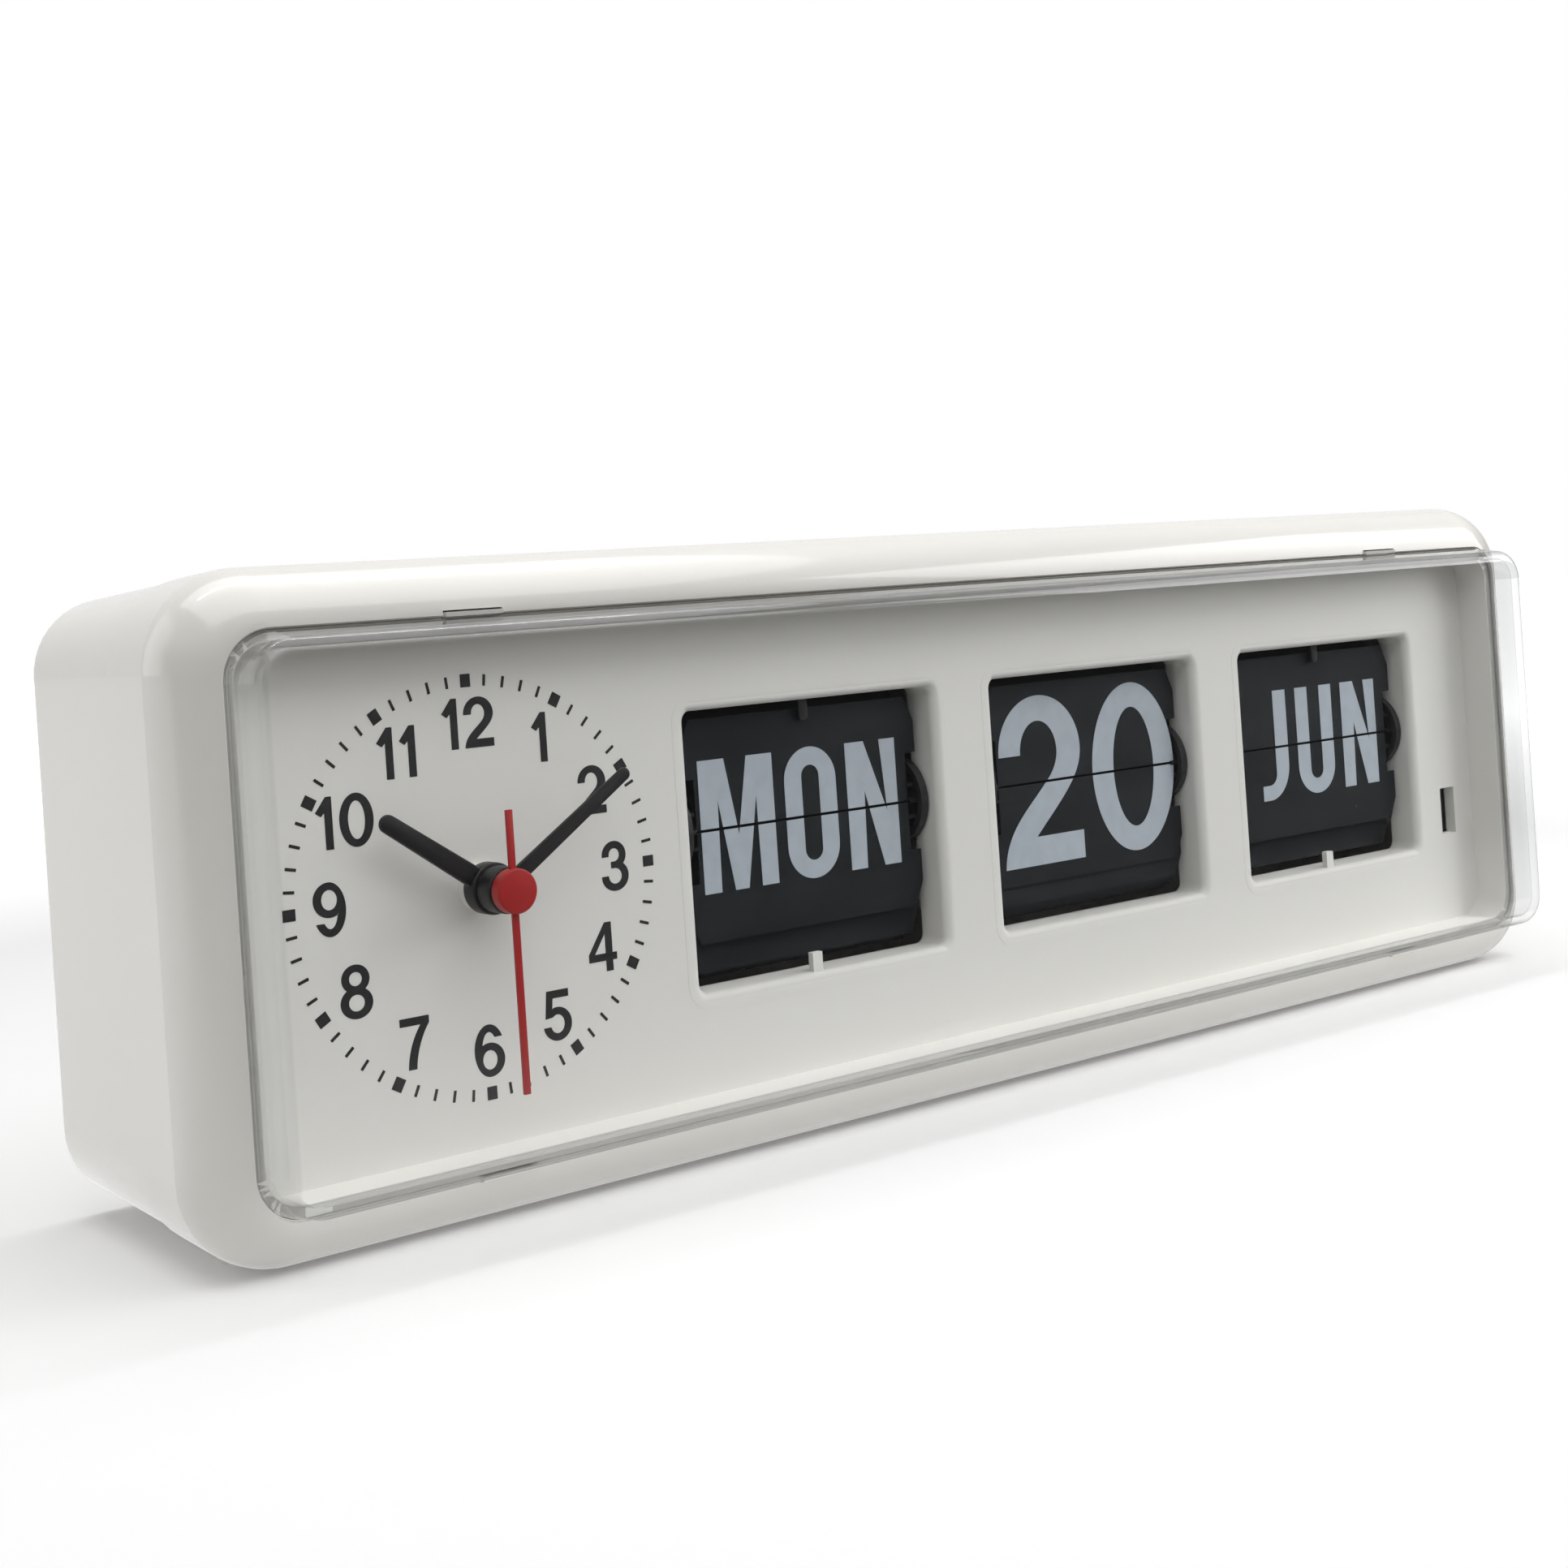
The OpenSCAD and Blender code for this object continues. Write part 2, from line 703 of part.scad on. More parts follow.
// Gear with straight sided teeth, its first tooth centred on +x
module gear_2d(teeth, r, first) {
    step = 360 / teeth;
    tip = r + gear_module;
    root = r - 1.25 * gear_module;
    circle(root);
    for (i = [0:teeth - 1]) rotate(first + i * step)
        polygon([[root - 0.5, -0.95 * gear_module], [root, -0.9 * gear_module], [tip, -0.3 * gear_module],
                 [tip, 0.3 * gear_module], [root, 0.9 * gear_module], [root - 0.5, 0.95 * gear_module]]);
}

// Spool: tube, two end discs with a ring groove for the leaf pegs, and a gear
module unit_spool(x) {
    groove_r = peg_r + groove_gap;
    color(black) face() translate([x, axis_y, spool_z]) rotate([0, 90, 0]) difference() {
        union() {
            post(spool_r, -plate_left + slide_gap, plate_right - slide_gap);
            post(disc_r, -disc_out, -disc_in);
            post(disc_r, disc_in, disc_out);
            translate([0, 0, gear_x]) linear_extrude(gear_w) gear_2d(gear_teeth, gear_r, 0);
        }
        post(axle_r + run_gap, -plate_left - 1, plate_right + 1);
        for (s = [-1, 1]) translate([0, 0, s * (disc_in + groove_depth / 2)]) rotate_extrude()
            translate([peg_circle - groove_r, -groove_depth / 2 - eps])
                square([2 * groove_r, groove_depth + 2 * eps]);
    }
}

module unit_pinion(x) {
    shaft_end = plate_out + motor_bore_l - slide_gap;
    color([0.8, 0.66, 0.3]) face() translate([x, axis_y, pinion_z]) rotate([0, 90, 0]) {
        translate([0, 0, gear_x]) linear_extrude(gear_w)
            gear_2d(pinion_teeth, pinion_r, 180 + 180 / pinion_teeth);
        post(pinion_shaft_r, gear_x, shaft_end);
    }
}

module unit_motor(x) {
    color(steel) face() translate([x, axis_y, pinion_z]) rotate([0, 90, 0]) difference() {
        post(motor_r, plate_out, plate_out + motor_t);
        post(pinion_shaft_r + run_gap, plate_out - 1, plate_out + motor_bore_l);
    }
}

// Outline of a leaf beyond its notches, the far corners cut
module leaf_card() {
    side = leaf_w / 2;
    polygon([[-side, notch_half], [side, notch_half],
             [side, leaf_l - leaf_cut_l], [side - leaf_cut_w, leaf_l],
             [leaf_cut_w - side, leaf_l], [-side, leaf_l - leaf_cut_l]]);
}

// One leaf standing up from its hinge line at the origin, with its pegs
module leaf() {
    back = -leaf_offset - leaf_t;
    translate([0, 0, back]) linear_extrude(leaf_t) leaf_card();
    translate([-neck_half, split_gap, back]) cube([2 * neck_half, notch_half - split_gap + eps, leaf_t]);
    translate([-ear_half, split_gap, back]) cube([2 * ear_half, ear_h - split_gap, leaf_t]);
    for (s = [-1, 1]) rod_x(peg_r, s > 0 ? neck_half + slide_gap : -peg_end,
                            peg_end - neck_half - slide_gap, 0, 0);
}

// Pegs sit evenly on their circle: angle 0 is the front, and it grows over the top
function fan_step(leaves) = 360 / leaves;
function fan_skip(leaves) = ceil(fan_clear / fan_step(leaves));
function peg_y(angle) = axis_y + peg_circle * sin(angle);
function peg_z(angle) = spool_z + peg_circle * cos(angle);

// Leaves lean back over the top, stand off the spool at the back and hang straight below it
function leaf_lean(angle) = angle < 180 ? angle / 2 : min(180, angle - 90);

module unit_leaf_upper(x) {
    color(leaf_black) face() translate([x, axis_y, hinge_z]) leaf();
}

// Lower leaf: hangs in the plane of the upper one, its pegs a step further down
module unit_leaf_lower(x, leaves) {
    angle = -fan_skip(leaves) * fan_step(leaves);
    py = peg_y(angle);
    back = hinge_z - leaf_offset - leaf_t;
    color(leaf_black) face() {
        translate([x, axis_y, back]) linear_extrude(leaf_t) mirror([0, 1]) leaf_card();
        translate([x - neck_half, axis_y - notch_half - eps, back])
            cube([2 * neck_half, notch_half - split_gap + eps, leaf_t]);
        translate([x - ear_half, py - ear_h / 2, peg_z(angle)])
            cube([2 * ear_half, ear_h, hinge_z - leaf_offset - peg_z(angle)]);
        for (s = [-1, 1]) rod_x(peg_r, x + (s > 0 ? neck_half + slide_gap : -peg_end),
                                peg_end - neck_half - slide_gap, py, peg_z(angle));
    }
}

// The other leaves stand behind the pair that shows
module unit_leaf_pack(x, leaves) {
    skip = fan_skip(leaves);
    color(leaf_black) face() for (k = [skip:leaves - skip - 1]) {
        angle = k * fan_step(leaves);
        translate([x, peg_y(angle), peg_z(angle)]) rotate([-leaf_lean(angle), 0, 0]) leaf();
    }
}

// Quartz movement: box, bushing through the panel, bores for the arbors and the knob
module movement() {
    color(black) face() difference() {
        translate([dial_x, face_y, 0]) union() {
            slab(movement_w, movement_w, 3, -panel_t - movement_d, -panel_t);
            post(bushing_r, -panel_t - 1, collar_h);
        }
        translate([dial_x, face_y, 0]) post(hour_tube_r + run_gap, -arbor_depth, collar_h + 1);
        translate([dial_x, knob_y, 0])
            post(knob_shaft_r + run_gap, -panel_t - movement_d - 1, -panel_t - movement_d + knob_socket);
    }
}

module hub_collar() {
    color(white) face() translate([dial_x, face_y, 0]) difference() {
        post(collar_r, 0, collar_h);
        post(bushing_r + run_gap, -1, collar_h + 1);
    }
}

// Flat hand that points up: width at the hub and at the round tip
module hand_blade(length, hub_w, tip_w) {
    polygon([[-hub_w / 2, 0], [hub_w / 2, 0],
             [tip_w / 2, length - tip_w / 2], [-tip_w / 2, length - tip_w / 2]]);
    translate([0, length - tip_w / 2]) circle(tip_w / 2);
}

module hub_place(angle) {
    face() translate([dial_x, face_y, 0]) rotate(-angle) children();
}

module hour_hand() {
    color(black) hub_place(hour_angle) difference() {
        union() {
            translate([0, 0, hour_z]) linear_extrude(hour_t)
                hand_blade(hour_len, hour_w + hour_taper, hour_w);
            post(hour_boss_r, hour_back, hour_front);
            post(hour_tube_r, hour_tube_end, hour_front);
        }
        post(minute_pipe_r + run_gap, hour_tube_end - 1, hour_front + 1);
    }
}

module minute_hand() {
    color(black) hub_place(minute_angle) difference() {
        union() {
            translate([0, 0, minute_z]) linear_extrude(minute_t)
                hand_blade(minute_len, minute_w + minute_taper, minute_w);
            post(minute_boss_r, minute_back, minute_front);
            post(minute_pipe_r, minute_pipe_end, minute_front);
        }
        post(second_arbor_r + run_gap, minute_pipe_end - 1, minute_front + 1);
    }
}

module second_hand() {
    color(red) hub_place(second_angle) {
        translate([-second_w / 2, -tail_len, second_z]) cube([second_w, second_len + tail_len, second_t]);
        post(cap_r, cap_back, cap_front);
        post(second_arbor_r, second_arbor_end, cap_front);
    }
}

// Time knob: grip with finger notches behind the rear cover, on a long shaft
module time_knob() {
    grip_front = -case_depth + cup_depth - slide_gap;
    color(white) face() translate([dial_x, knob_y, 0]) {
        difference() {
            post(knob_r, -case_depth + knob_sink, grip_front);
            for (a = [0:30:330]) rotate(a) translate([knob_r + notch_r / 2, 0, 0])
                post(notch_r, -case_depth - 1, grip_front - 1);
        }
        post(knob_shaft_r, grip_front - eps, -panel_t - movement_d + knob_socket - slide_gap);
    }
}

// Control board with the three switches that the buttons press
module control_board() {
    board_l = unit_xs[2] - unit_xs[0] + 2 * board_over;
    color([0.1, 0.35, 0.2]) face() {
        translate([unit_xs[0] - board_over, board_top - board_h, board_back])
            cube([board_l, board_h, board_t]);
        for (x = unit_xs) translate([x, button_rise, 0]) {
            translate([-switch_w / 2, -switch_w / 2, board_back - switch_h])
                cube([switch_w, switch_w, switch_h + eps]);
            post(plunger_r, plunger_end, board_back - switch_h + eps);
        }
    }
}

module unit_button(x) {
    color([0.85, 0.84, 0.82]) face() translate([x, button_rise, 0]) {
        post(button_r, button_sink - case_depth, button_end);
        post(button_lip_r, slide_gap - rear_inner, slide_gap - rear_inner + button_lip);
    }
}

// Battery door: plate with a round hinge edge, two pins and a finger bar
module battery_door() {
    color(white) face() {
        translate([door_hinge_x, bay_y - door_h / 2, -door_face])
            cube([door_l - door_t / 2, door_h, door_t]);
        translate([door_hinge_x, bay_y, door_hinge_z]) rotate([90, 0, 0])
            cylinder(r = door_t / 2, h = door_h, center = true);
        door_pins(0);
    }
}

module dry_cell() {
    color([0.25, 0.27, 0.3]) face() {
        rod_x(cell_r, bay_x + bay_l / 2 - contact_t - nub_l - cell_l, cell_l, bay_y, cell_z);
        rod_x(nub_r, bay_x + bay_l / 2 - contact_t - nub_l - eps, nub_l, bay_y, cell_z);
    }
}

// Contact plates on the end walls of the bay, and a bent spring strip at the flat end
module battery_contacts() {
    left = bay_x - bay_l / 2;
    spring_l = bay_l - 2 * contact_t - nub_l - cell_l - tower_gap;
    color(steel) face() {
        for (x = [left, bay_x + bay_l / 2 - contact_t])
            translate([x, bay_y - contact_w / 2, cell_z - contact_w / 2])
                cube([contact_t, contact_w, contact_w]);
        translate([left + contact_t, bay_y, cell_z - strip_w / 2]) linear_extrude(strip_w)
            polygon([[-eps, -strip_half], [-eps, strip_t - strip_half], [spring_l - strip_t, 0],
                     [-eps, strip_half - strip_t], [-eps, strip_half], [spring_l, strip_t / 2],
                     [spring_l, -strip_t / 2]]);
    }
}

module screw(shank_r, shank_l, top_r, top_h) {
    post(shank_r, -eps, shank_l);
    difference() {
        post(top_r, -top_h, 0);
        translate([-top_r * 0.7, -drive_w / 2, -top_h - eps]) cube([top_r * 1.4, drive_w, top_h / 2]);
        translate([-drive_w / 2, -top_r * 0.7, -top_h - eps]) cube([drive_w, top_r * 1.4, top_h / 2]);
    }
}

module unit_screws() {
    seat = -panel_t - foot_lift - frame_t;
    color(steel) face() for (x = unit_xs) translate([0, face_y, seat]) unit_feet(x)
        screw(unit_screw_r, frame_t + foot_lift, unit_head_r, unit_head_h);
}

module case_screws() {
    seat = -seam_depth - tower_gap - tower_floor;
    color(steel) face() for (p = boss_places) translate([p[0], p[1] + face_y, seat])
        screw(screw_r, tower_floor + screw_l - 2, head_r, head_h);
}

front_case();
rear_cover();
lens();
dial_panel();
movement();
hub_collar();
hour_hand();
minute_hand();
second_hand();
time_knob();
unit_frame(unit_xs[0]);  // day_frame
unit_frame(unit_xs[1]);  // date_frame
unit_frame(unit_xs[2]);  // month_frame
unit_axle(unit_xs[0]);  // day_axle
unit_axle(unit_xs[1]);  // date_axle
unit_axle(unit_xs[2]);  // month_axle
unit_spool(unit_xs[0]);  // day_spool
unit_spool(unit_xs[1]);  // date_spool
unit_spool(unit_xs[2]);  // month_spool
unit_pinion(unit_xs[0]);  // day_pinion
unit_pinion(unit_xs[1]);  // date_pinion
unit_pinion(unit_xs[2]);  // month_pinion
unit_motor(unit_xs[0]);  // day_motor
unit_motor(unit_xs[1]);  // date_motor
unit_motor(unit_xs[2]);  // month_motor
unit_leaf_upper(unit_xs[0]);  // day_leaf_upper
unit_leaf_upper(unit_xs[1]);  // date_leaf_upper
unit_leaf_upper(unit_xs[2]);  // month_leaf_upper
unit_leaf_lower(unit_xs[0], unit_leaves[0]);  // day_leaf_lower
unit_leaf_lower(unit_xs[1], unit_leaves[1]);  // date_leaf_lower
unit_leaf_lower(unit_xs[2], unit_leaves[2]);  // month_leaf_lower
unit_leaf_pack(unit_xs[0], unit_leaves[0]);  // day_leaf_pack
unit_leaf_pack(unit_xs[1], unit_leaves[1]);  // date_leaf_pack
unit_leaf_pack(unit_xs[2], unit_leaves[2]);  // month_leaf_pack
control_board();
unit_button(unit_xs[0]);  // day_button
unit_button(unit_xs[1]);  // date_button
unit_button(unit_xs[2]);  // month_button
battery_door();
dry_cell();
battery_contacts();
unit_screws();
case_screws();
rear_feet();
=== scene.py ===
"""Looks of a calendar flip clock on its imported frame: prints, hands, finishes, light and camera."""

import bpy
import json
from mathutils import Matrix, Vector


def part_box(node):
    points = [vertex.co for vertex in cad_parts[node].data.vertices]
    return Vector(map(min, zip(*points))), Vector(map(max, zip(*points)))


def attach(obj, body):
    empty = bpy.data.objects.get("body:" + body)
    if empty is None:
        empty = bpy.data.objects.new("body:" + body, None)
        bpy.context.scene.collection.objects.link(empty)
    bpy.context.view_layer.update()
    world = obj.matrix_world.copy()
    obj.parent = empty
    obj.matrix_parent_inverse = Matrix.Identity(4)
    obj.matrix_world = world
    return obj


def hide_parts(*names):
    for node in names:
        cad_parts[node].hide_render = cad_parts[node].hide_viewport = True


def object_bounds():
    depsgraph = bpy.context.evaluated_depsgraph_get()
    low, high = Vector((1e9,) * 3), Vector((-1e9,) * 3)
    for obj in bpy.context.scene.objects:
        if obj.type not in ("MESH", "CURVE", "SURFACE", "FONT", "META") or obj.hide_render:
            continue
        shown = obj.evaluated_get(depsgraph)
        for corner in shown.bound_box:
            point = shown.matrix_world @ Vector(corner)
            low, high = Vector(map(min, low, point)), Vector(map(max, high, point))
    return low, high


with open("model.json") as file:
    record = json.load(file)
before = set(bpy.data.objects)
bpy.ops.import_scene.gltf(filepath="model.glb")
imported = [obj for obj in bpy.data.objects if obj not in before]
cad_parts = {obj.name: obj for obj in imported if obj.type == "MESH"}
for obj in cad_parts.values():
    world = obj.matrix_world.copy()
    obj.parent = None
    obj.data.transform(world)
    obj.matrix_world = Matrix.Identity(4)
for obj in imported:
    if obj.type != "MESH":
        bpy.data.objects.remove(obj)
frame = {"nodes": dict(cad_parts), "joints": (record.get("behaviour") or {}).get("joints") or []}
CAD_BOX = [[float(value) for value in corner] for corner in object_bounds()]

import json
import logging
import math
from contextlib import contextmanager
from dataclasses import dataclass
from enum import Enum
from typing import Callable
from typing import Iterator
from typing import Sequence
from typing import Union

import bmesh
import bpy
from mathutils import Matrix
from mathutils import Vector

LOG = logging.getLogger("flip_clock")
MM = 0.001
JOINTS = {joint["name"]: joint for joint in frame["joints"]}
DIAL_CENTRE = Vector(JOINTS["second_spin"]["pos_m"])
LENS_BASE_Y = -31.8 * MM
LENS_MIDDLE_Z = 61.5 * MM
HAIR = MM * MM
MERGE_GAP = 0.5 * HAIR
SMOOTH_ANGLE = math.radians(35)
SHARP_ANGLE = math.radians(40)
ROUND_SIDES = 72
WHITE = (1.0, 1.0, 1.0, 1.0)

Point = tuple[float, float]
Place = tuple[float, float, float]
Outline = list[Point]
Colour = tuple[float, float, float, float]
Piece = bpy.types.Object
Material = bpy.types.Material


class Unit(Enum):
    """The three flap units, by the name that their nodes start with."""

    DAY = "day"
    DATE = "date"
    MONTH = "month"


class Half(Enum):
    """The part of a word that a leaf carries."""

    UPPER = 1
    LOWER = -1


class Joining(Enum):
    """How a second solid changes a piece, in the modifier's own words."""

    ADD = "UNION"
    CUT = "DIFFERENCE"


class Part(Enum):
    """What is picked in edit mode, in the operators' own words."""

    VERTEX = "VERT"
    EDGE = "EDGE"


def tone(red: int, green: int, blue: int) -> Colour:
    """Linear colour of a screen colour.

    Args:
        red, green, blue: Screen values from 0 to 255.

    Returns:
        The linear colour with full alpha.
    """
    def linear(value: int) -> float:
        """Linear share of one screen value."""
        share = value / 255
        return share / 12.92 if share <= 0.04045 else ((share + 0.055) / 1.055) ** 2.4

    return (linear(red), linear(green), linear(blue), 1.0)


# Hand modelling helpers


def only(obj: Piece) -> None:
    """Select one object alone and make it active.

    Args:
        obj: The object that stays selected.
    """
    if bpy.context.object and bpy.context.object.mode != "OBJECT":
        bpy.ops.object.mode_set(mode="OBJECT")
    bpy.ops.object.select_all(action="DESELECT")
    obj.select_set(True)
    bpy.context.view_layer.objects.active = obj


def nothing_selected() -> None:
    """Deselect everything before a primitive is added."""
    bpy.ops.object.select_all(action="DESELECT")


def settle(obj: Piece) -> Piece:
    """Put the object's place, turn and scale into its mesh.

    Args:
        obj: The piece.

    Returns:
        The same piece.
    """
    only(obj)
    bpy.ops.object.transform_apply(location=True, rotation=True, scale=True)
    return obj


def block(name: str, size: Sequence[float], centre: Sequence[float]) -> Piece:
    """Add a cube at its size and place.

    Args:
        name: Name of the piece.
        size: Lengths along the three axes.
        centre: Middle of the block.

    Returns:
        The new object, with its place in its mesh.
    """
    nothing_selected()
    bpy.ops.mesh.primitive_cube_add(size=1, location=centre)
    obj = bpy.context.object
    obj.name = name
    obj.scale = size
    return settle(obj)


def drum(name: str, radius: float, front: float, back: float, centre: Vector) -> Piece:
    """Add a cylinder that stands along the depth of the clock.

    Args:
        name: Name of the piece.
        radius: Radius of the cylinder.
        front: Depth of its front end, from the centre.
        back: Depth of its back end, from the centre.
        centre: Point on its axis that the depths are counted from.

    Returns:
        The new object, with its place in its mesh.
    """
    nothing_selected()
    middle = centre + Vector((0, (front + back) / 2, 0))
    bpy.ops.mesh.primitive_cylinder_add(
        vertices=ROUND_SIDES, radius=radius, depth=abs(back - front), location=middle,
        rotation=(math.pi / 2, 0, 0))
    obj = bpy.context.object
    obj.name = name
    return settle(obj)


@contextmanager
def editing(obj: Piece) -> Iterator[None]:
    """Open a piece in edit mode with its whole mesh selected, and close it again.

    Args:
        obj: The piece.

    Yields:
        Nothing, while the piece is open.
    """
    only(obj)
    bpy.ops.object.mode_set(mode="EDIT")
    bpy.ops.mesh.select_all(action="SELECT")
    yield
    bpy.ops.object.mode_set(mode="OBJECT")


def pick(obj: Piece, part: Part, test: Callable[..., bool]) -> None:
    """Select only those vertices or edges of an open piece that pass a test.

    Args:
        obj: The piece, in edit mode.
        part: Whether vertices or edges are picked.
        test: Takes the place of the vertex, or the places of the edge's two ends.
    """
    bpy.ops.mesh.select_mode(type=part.value)
    bpy.ops.mesh.select_all(action="DESELECT")
    shape = bmesh.from_edit_mesh(obj.data)
    for found in shape.verts if part is Part.VERTEX else shape.edges:
        ends = [found] if part is Part.VERTEX else found.verts
        if test(*[end.co for end in ends]):
            found.select_set(True)
    bmesh.update_edit_mesh(obj.data)


def bevel_where(obj: Piece, test: Callable[[Vector, Vector], bool], width: float, steps: int) -> None:
    """Round the edges whose two ends pass a test.

    Args:
        obj: The piece to shape.
        test: Takes the ends of an edge and says whether it is rounded.
        width: Width of the rounding.
        steps: Number of segments.
    """
    with editing(obj):
        pick(obj, Part.EDGE, test)
        bpy.ops.mesh.bevel(offset=width, segments=steps, affect="EDGES", clamp_overlap=True)


def round_block(name: str, half: Point, corner: float, grow: float, ends: Point, centre: Vector,
                steps: int) -> Piece:
    """Add a block with round corners along the depth of the clock.

    Args:
        name: Name of the piece.
        half: Half width and half height.
        corner: Radius of the corners.
        grow: Length by which each side and each radius is larger than that.
        ends: Depths of its front and its back, counted backwards from the centre.
        centre: Point on its middle line that the depths are counted from.
        steps: Segments of each corner.

    Returns:
        The new object.
    """
    depth = ends[1] - ends[0]
    size = (2 * (half[0] + grow), depth, 2 * (half[1] + grow))
    obj = block(name, size, centre + Vector((0, (ends[0] + ends[1]) / 2, 0)))
    bevel_where(obj, lambda a, b: abs(a.y - b.y) > depth / 2, corner + grow, steps)
    return obj


def sharp_edges_bevelled(obj: Piece, width: float, steps: int = 2) -> None:
    """Round every sharp edge of a piece with an applied Bevel modifier.

    Args:
        obj: The piece.
        width: Width of the rounding.
        steps: Number of segments.
    """
    only(obj)
    rounding = obj.modifiers.new("rounding", "BEVEL")
    rounding.width = width
    rounding.segments = steps
    rounding.limit_method = "ANGLE"
    rounding.angle_limit = SHARP_ANGLE
    bpy.ops.object.modifier_apply(modifier=rounding.name)


def combine(obj: Piece, other: Piece, how: Joining) -> None:
    """Join another solid to a piece, or cut it out, and remove it.

    Args:
        obj: The piece that changes.
        other: The solid that is used up.
        how: Whether that solid is added or cut out.
    """
    only(obj)
    tool = obj.modifiers.new("tool", "BOOLEAN")
    tool.operation = how.value
    tool.solver = "EXACT"
    tool.object = other
    bpy.ops.object.modifier_apply(modifier=tool.name)
    bpy.data.objects.remove(other)


def copies_round(obj: Piece, centre: Vector, count: int, step: float) -> None:
    """Repeat a whole mesh round an axis along the depth.

    Args:
        obj: The piece to repeat.
        centre: Point on the axis.
        count: Number of copies beside the first.
        step: Angle from one copy to the next, clockwise as seen from the front.
    """
    with editing(obj):
        bpy.ops.mesh.spin(steps=count, dupli=True, angle=-count * step, center=centre, axis=(0, 1, 0))


def turned_about_dial(obj: Piece, angle: float) -> None:
    """Turn a piece clockwise about the dial's centre, as seen from the front.

    Args:
        obj: The piece.
        angle: Angle in radians.
    """
    spin = Matrix.Rotation(angle, 4, "Y")
    obj.matrix_world = Matrix.Translation(DIAL_CENTRE) @ spin @ Matrix.Translation(-DIAL_CENTRE)
    settle(obj)


def joined(objs: Sequence[Piece], name: str) -> Piece:
    """Join several meshes into one piece.

    Args:
        objs: The meshes, of which the first stays.
        name: Name of the piece.

    Returns:
        The joined piece.
    """
    only(objs[0])
    for obj in objs:
        obj.select_set(True)
    bpy.ops.object.join()
    objs[0].name = name
    return objs[0]


def clean(obj: Piece) -> None:
    """Merge the doubles of a mesh and point its faces outwards.

    Args:
        obj: The piece.
    """
    with editing(obj):
        bpy.ops.mesh.remove_doubles(threshold=MERGE_GAP)
        bpy.ops.mesh.normals_make_consistent(inside=False)


def place_piece(obj: Piece, finish: Material, body: str) -> None:
    """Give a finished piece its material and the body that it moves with.

    Args:
        obj: The piece, with its place in its mesh.
        finish: Its material.
        body: Name of the body that carries it.
    """
    only(obj)
    bpy.ops.object.shade_smooth_by_angle(angle=SMOOTH_ANGLE)
    obj.data.materials.clear()
    obj.data.materials.append(finish)
    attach(obj, body)
    LOG.info("piece %s on %s, %d faces", obj.name, body, len(obj.data.polygons))


# Shader graphs


class Socket:
    """An output of a shader node that takes part in Python sums."""

    def __init__(self, graph: "Graph", source: bpy.types.NodeSocket) -> None:
        """Keep the graph and the output."""
        self.graph = graph
        self.source = source

    def __add__(self, other: "Value") -> "Socket":
        """Sum of two values."""
        return self.graph.maths("ADD", self, other)

    def __sub__(self, other: "Value") -> "Socket":
        """Difference of two values."""
        return self.graph.maths("SUBTRACT", self, other)

    def __rsub__(self, other: "Value") -> "Socket":
        """Difference from a plain number on the left."""
        return self.graph.maths("SUBTRACT", other, self)

    def __mul__(self, other: "Value") -> "Socket":
        """Product of two values."""
        return self.graph.maths("MULTIPLY", self, other)

    __radd__ = __add__
    __rmul__ = __mul__


Value = Union[Socket, float]
Mix = Union[Socket, Colour]


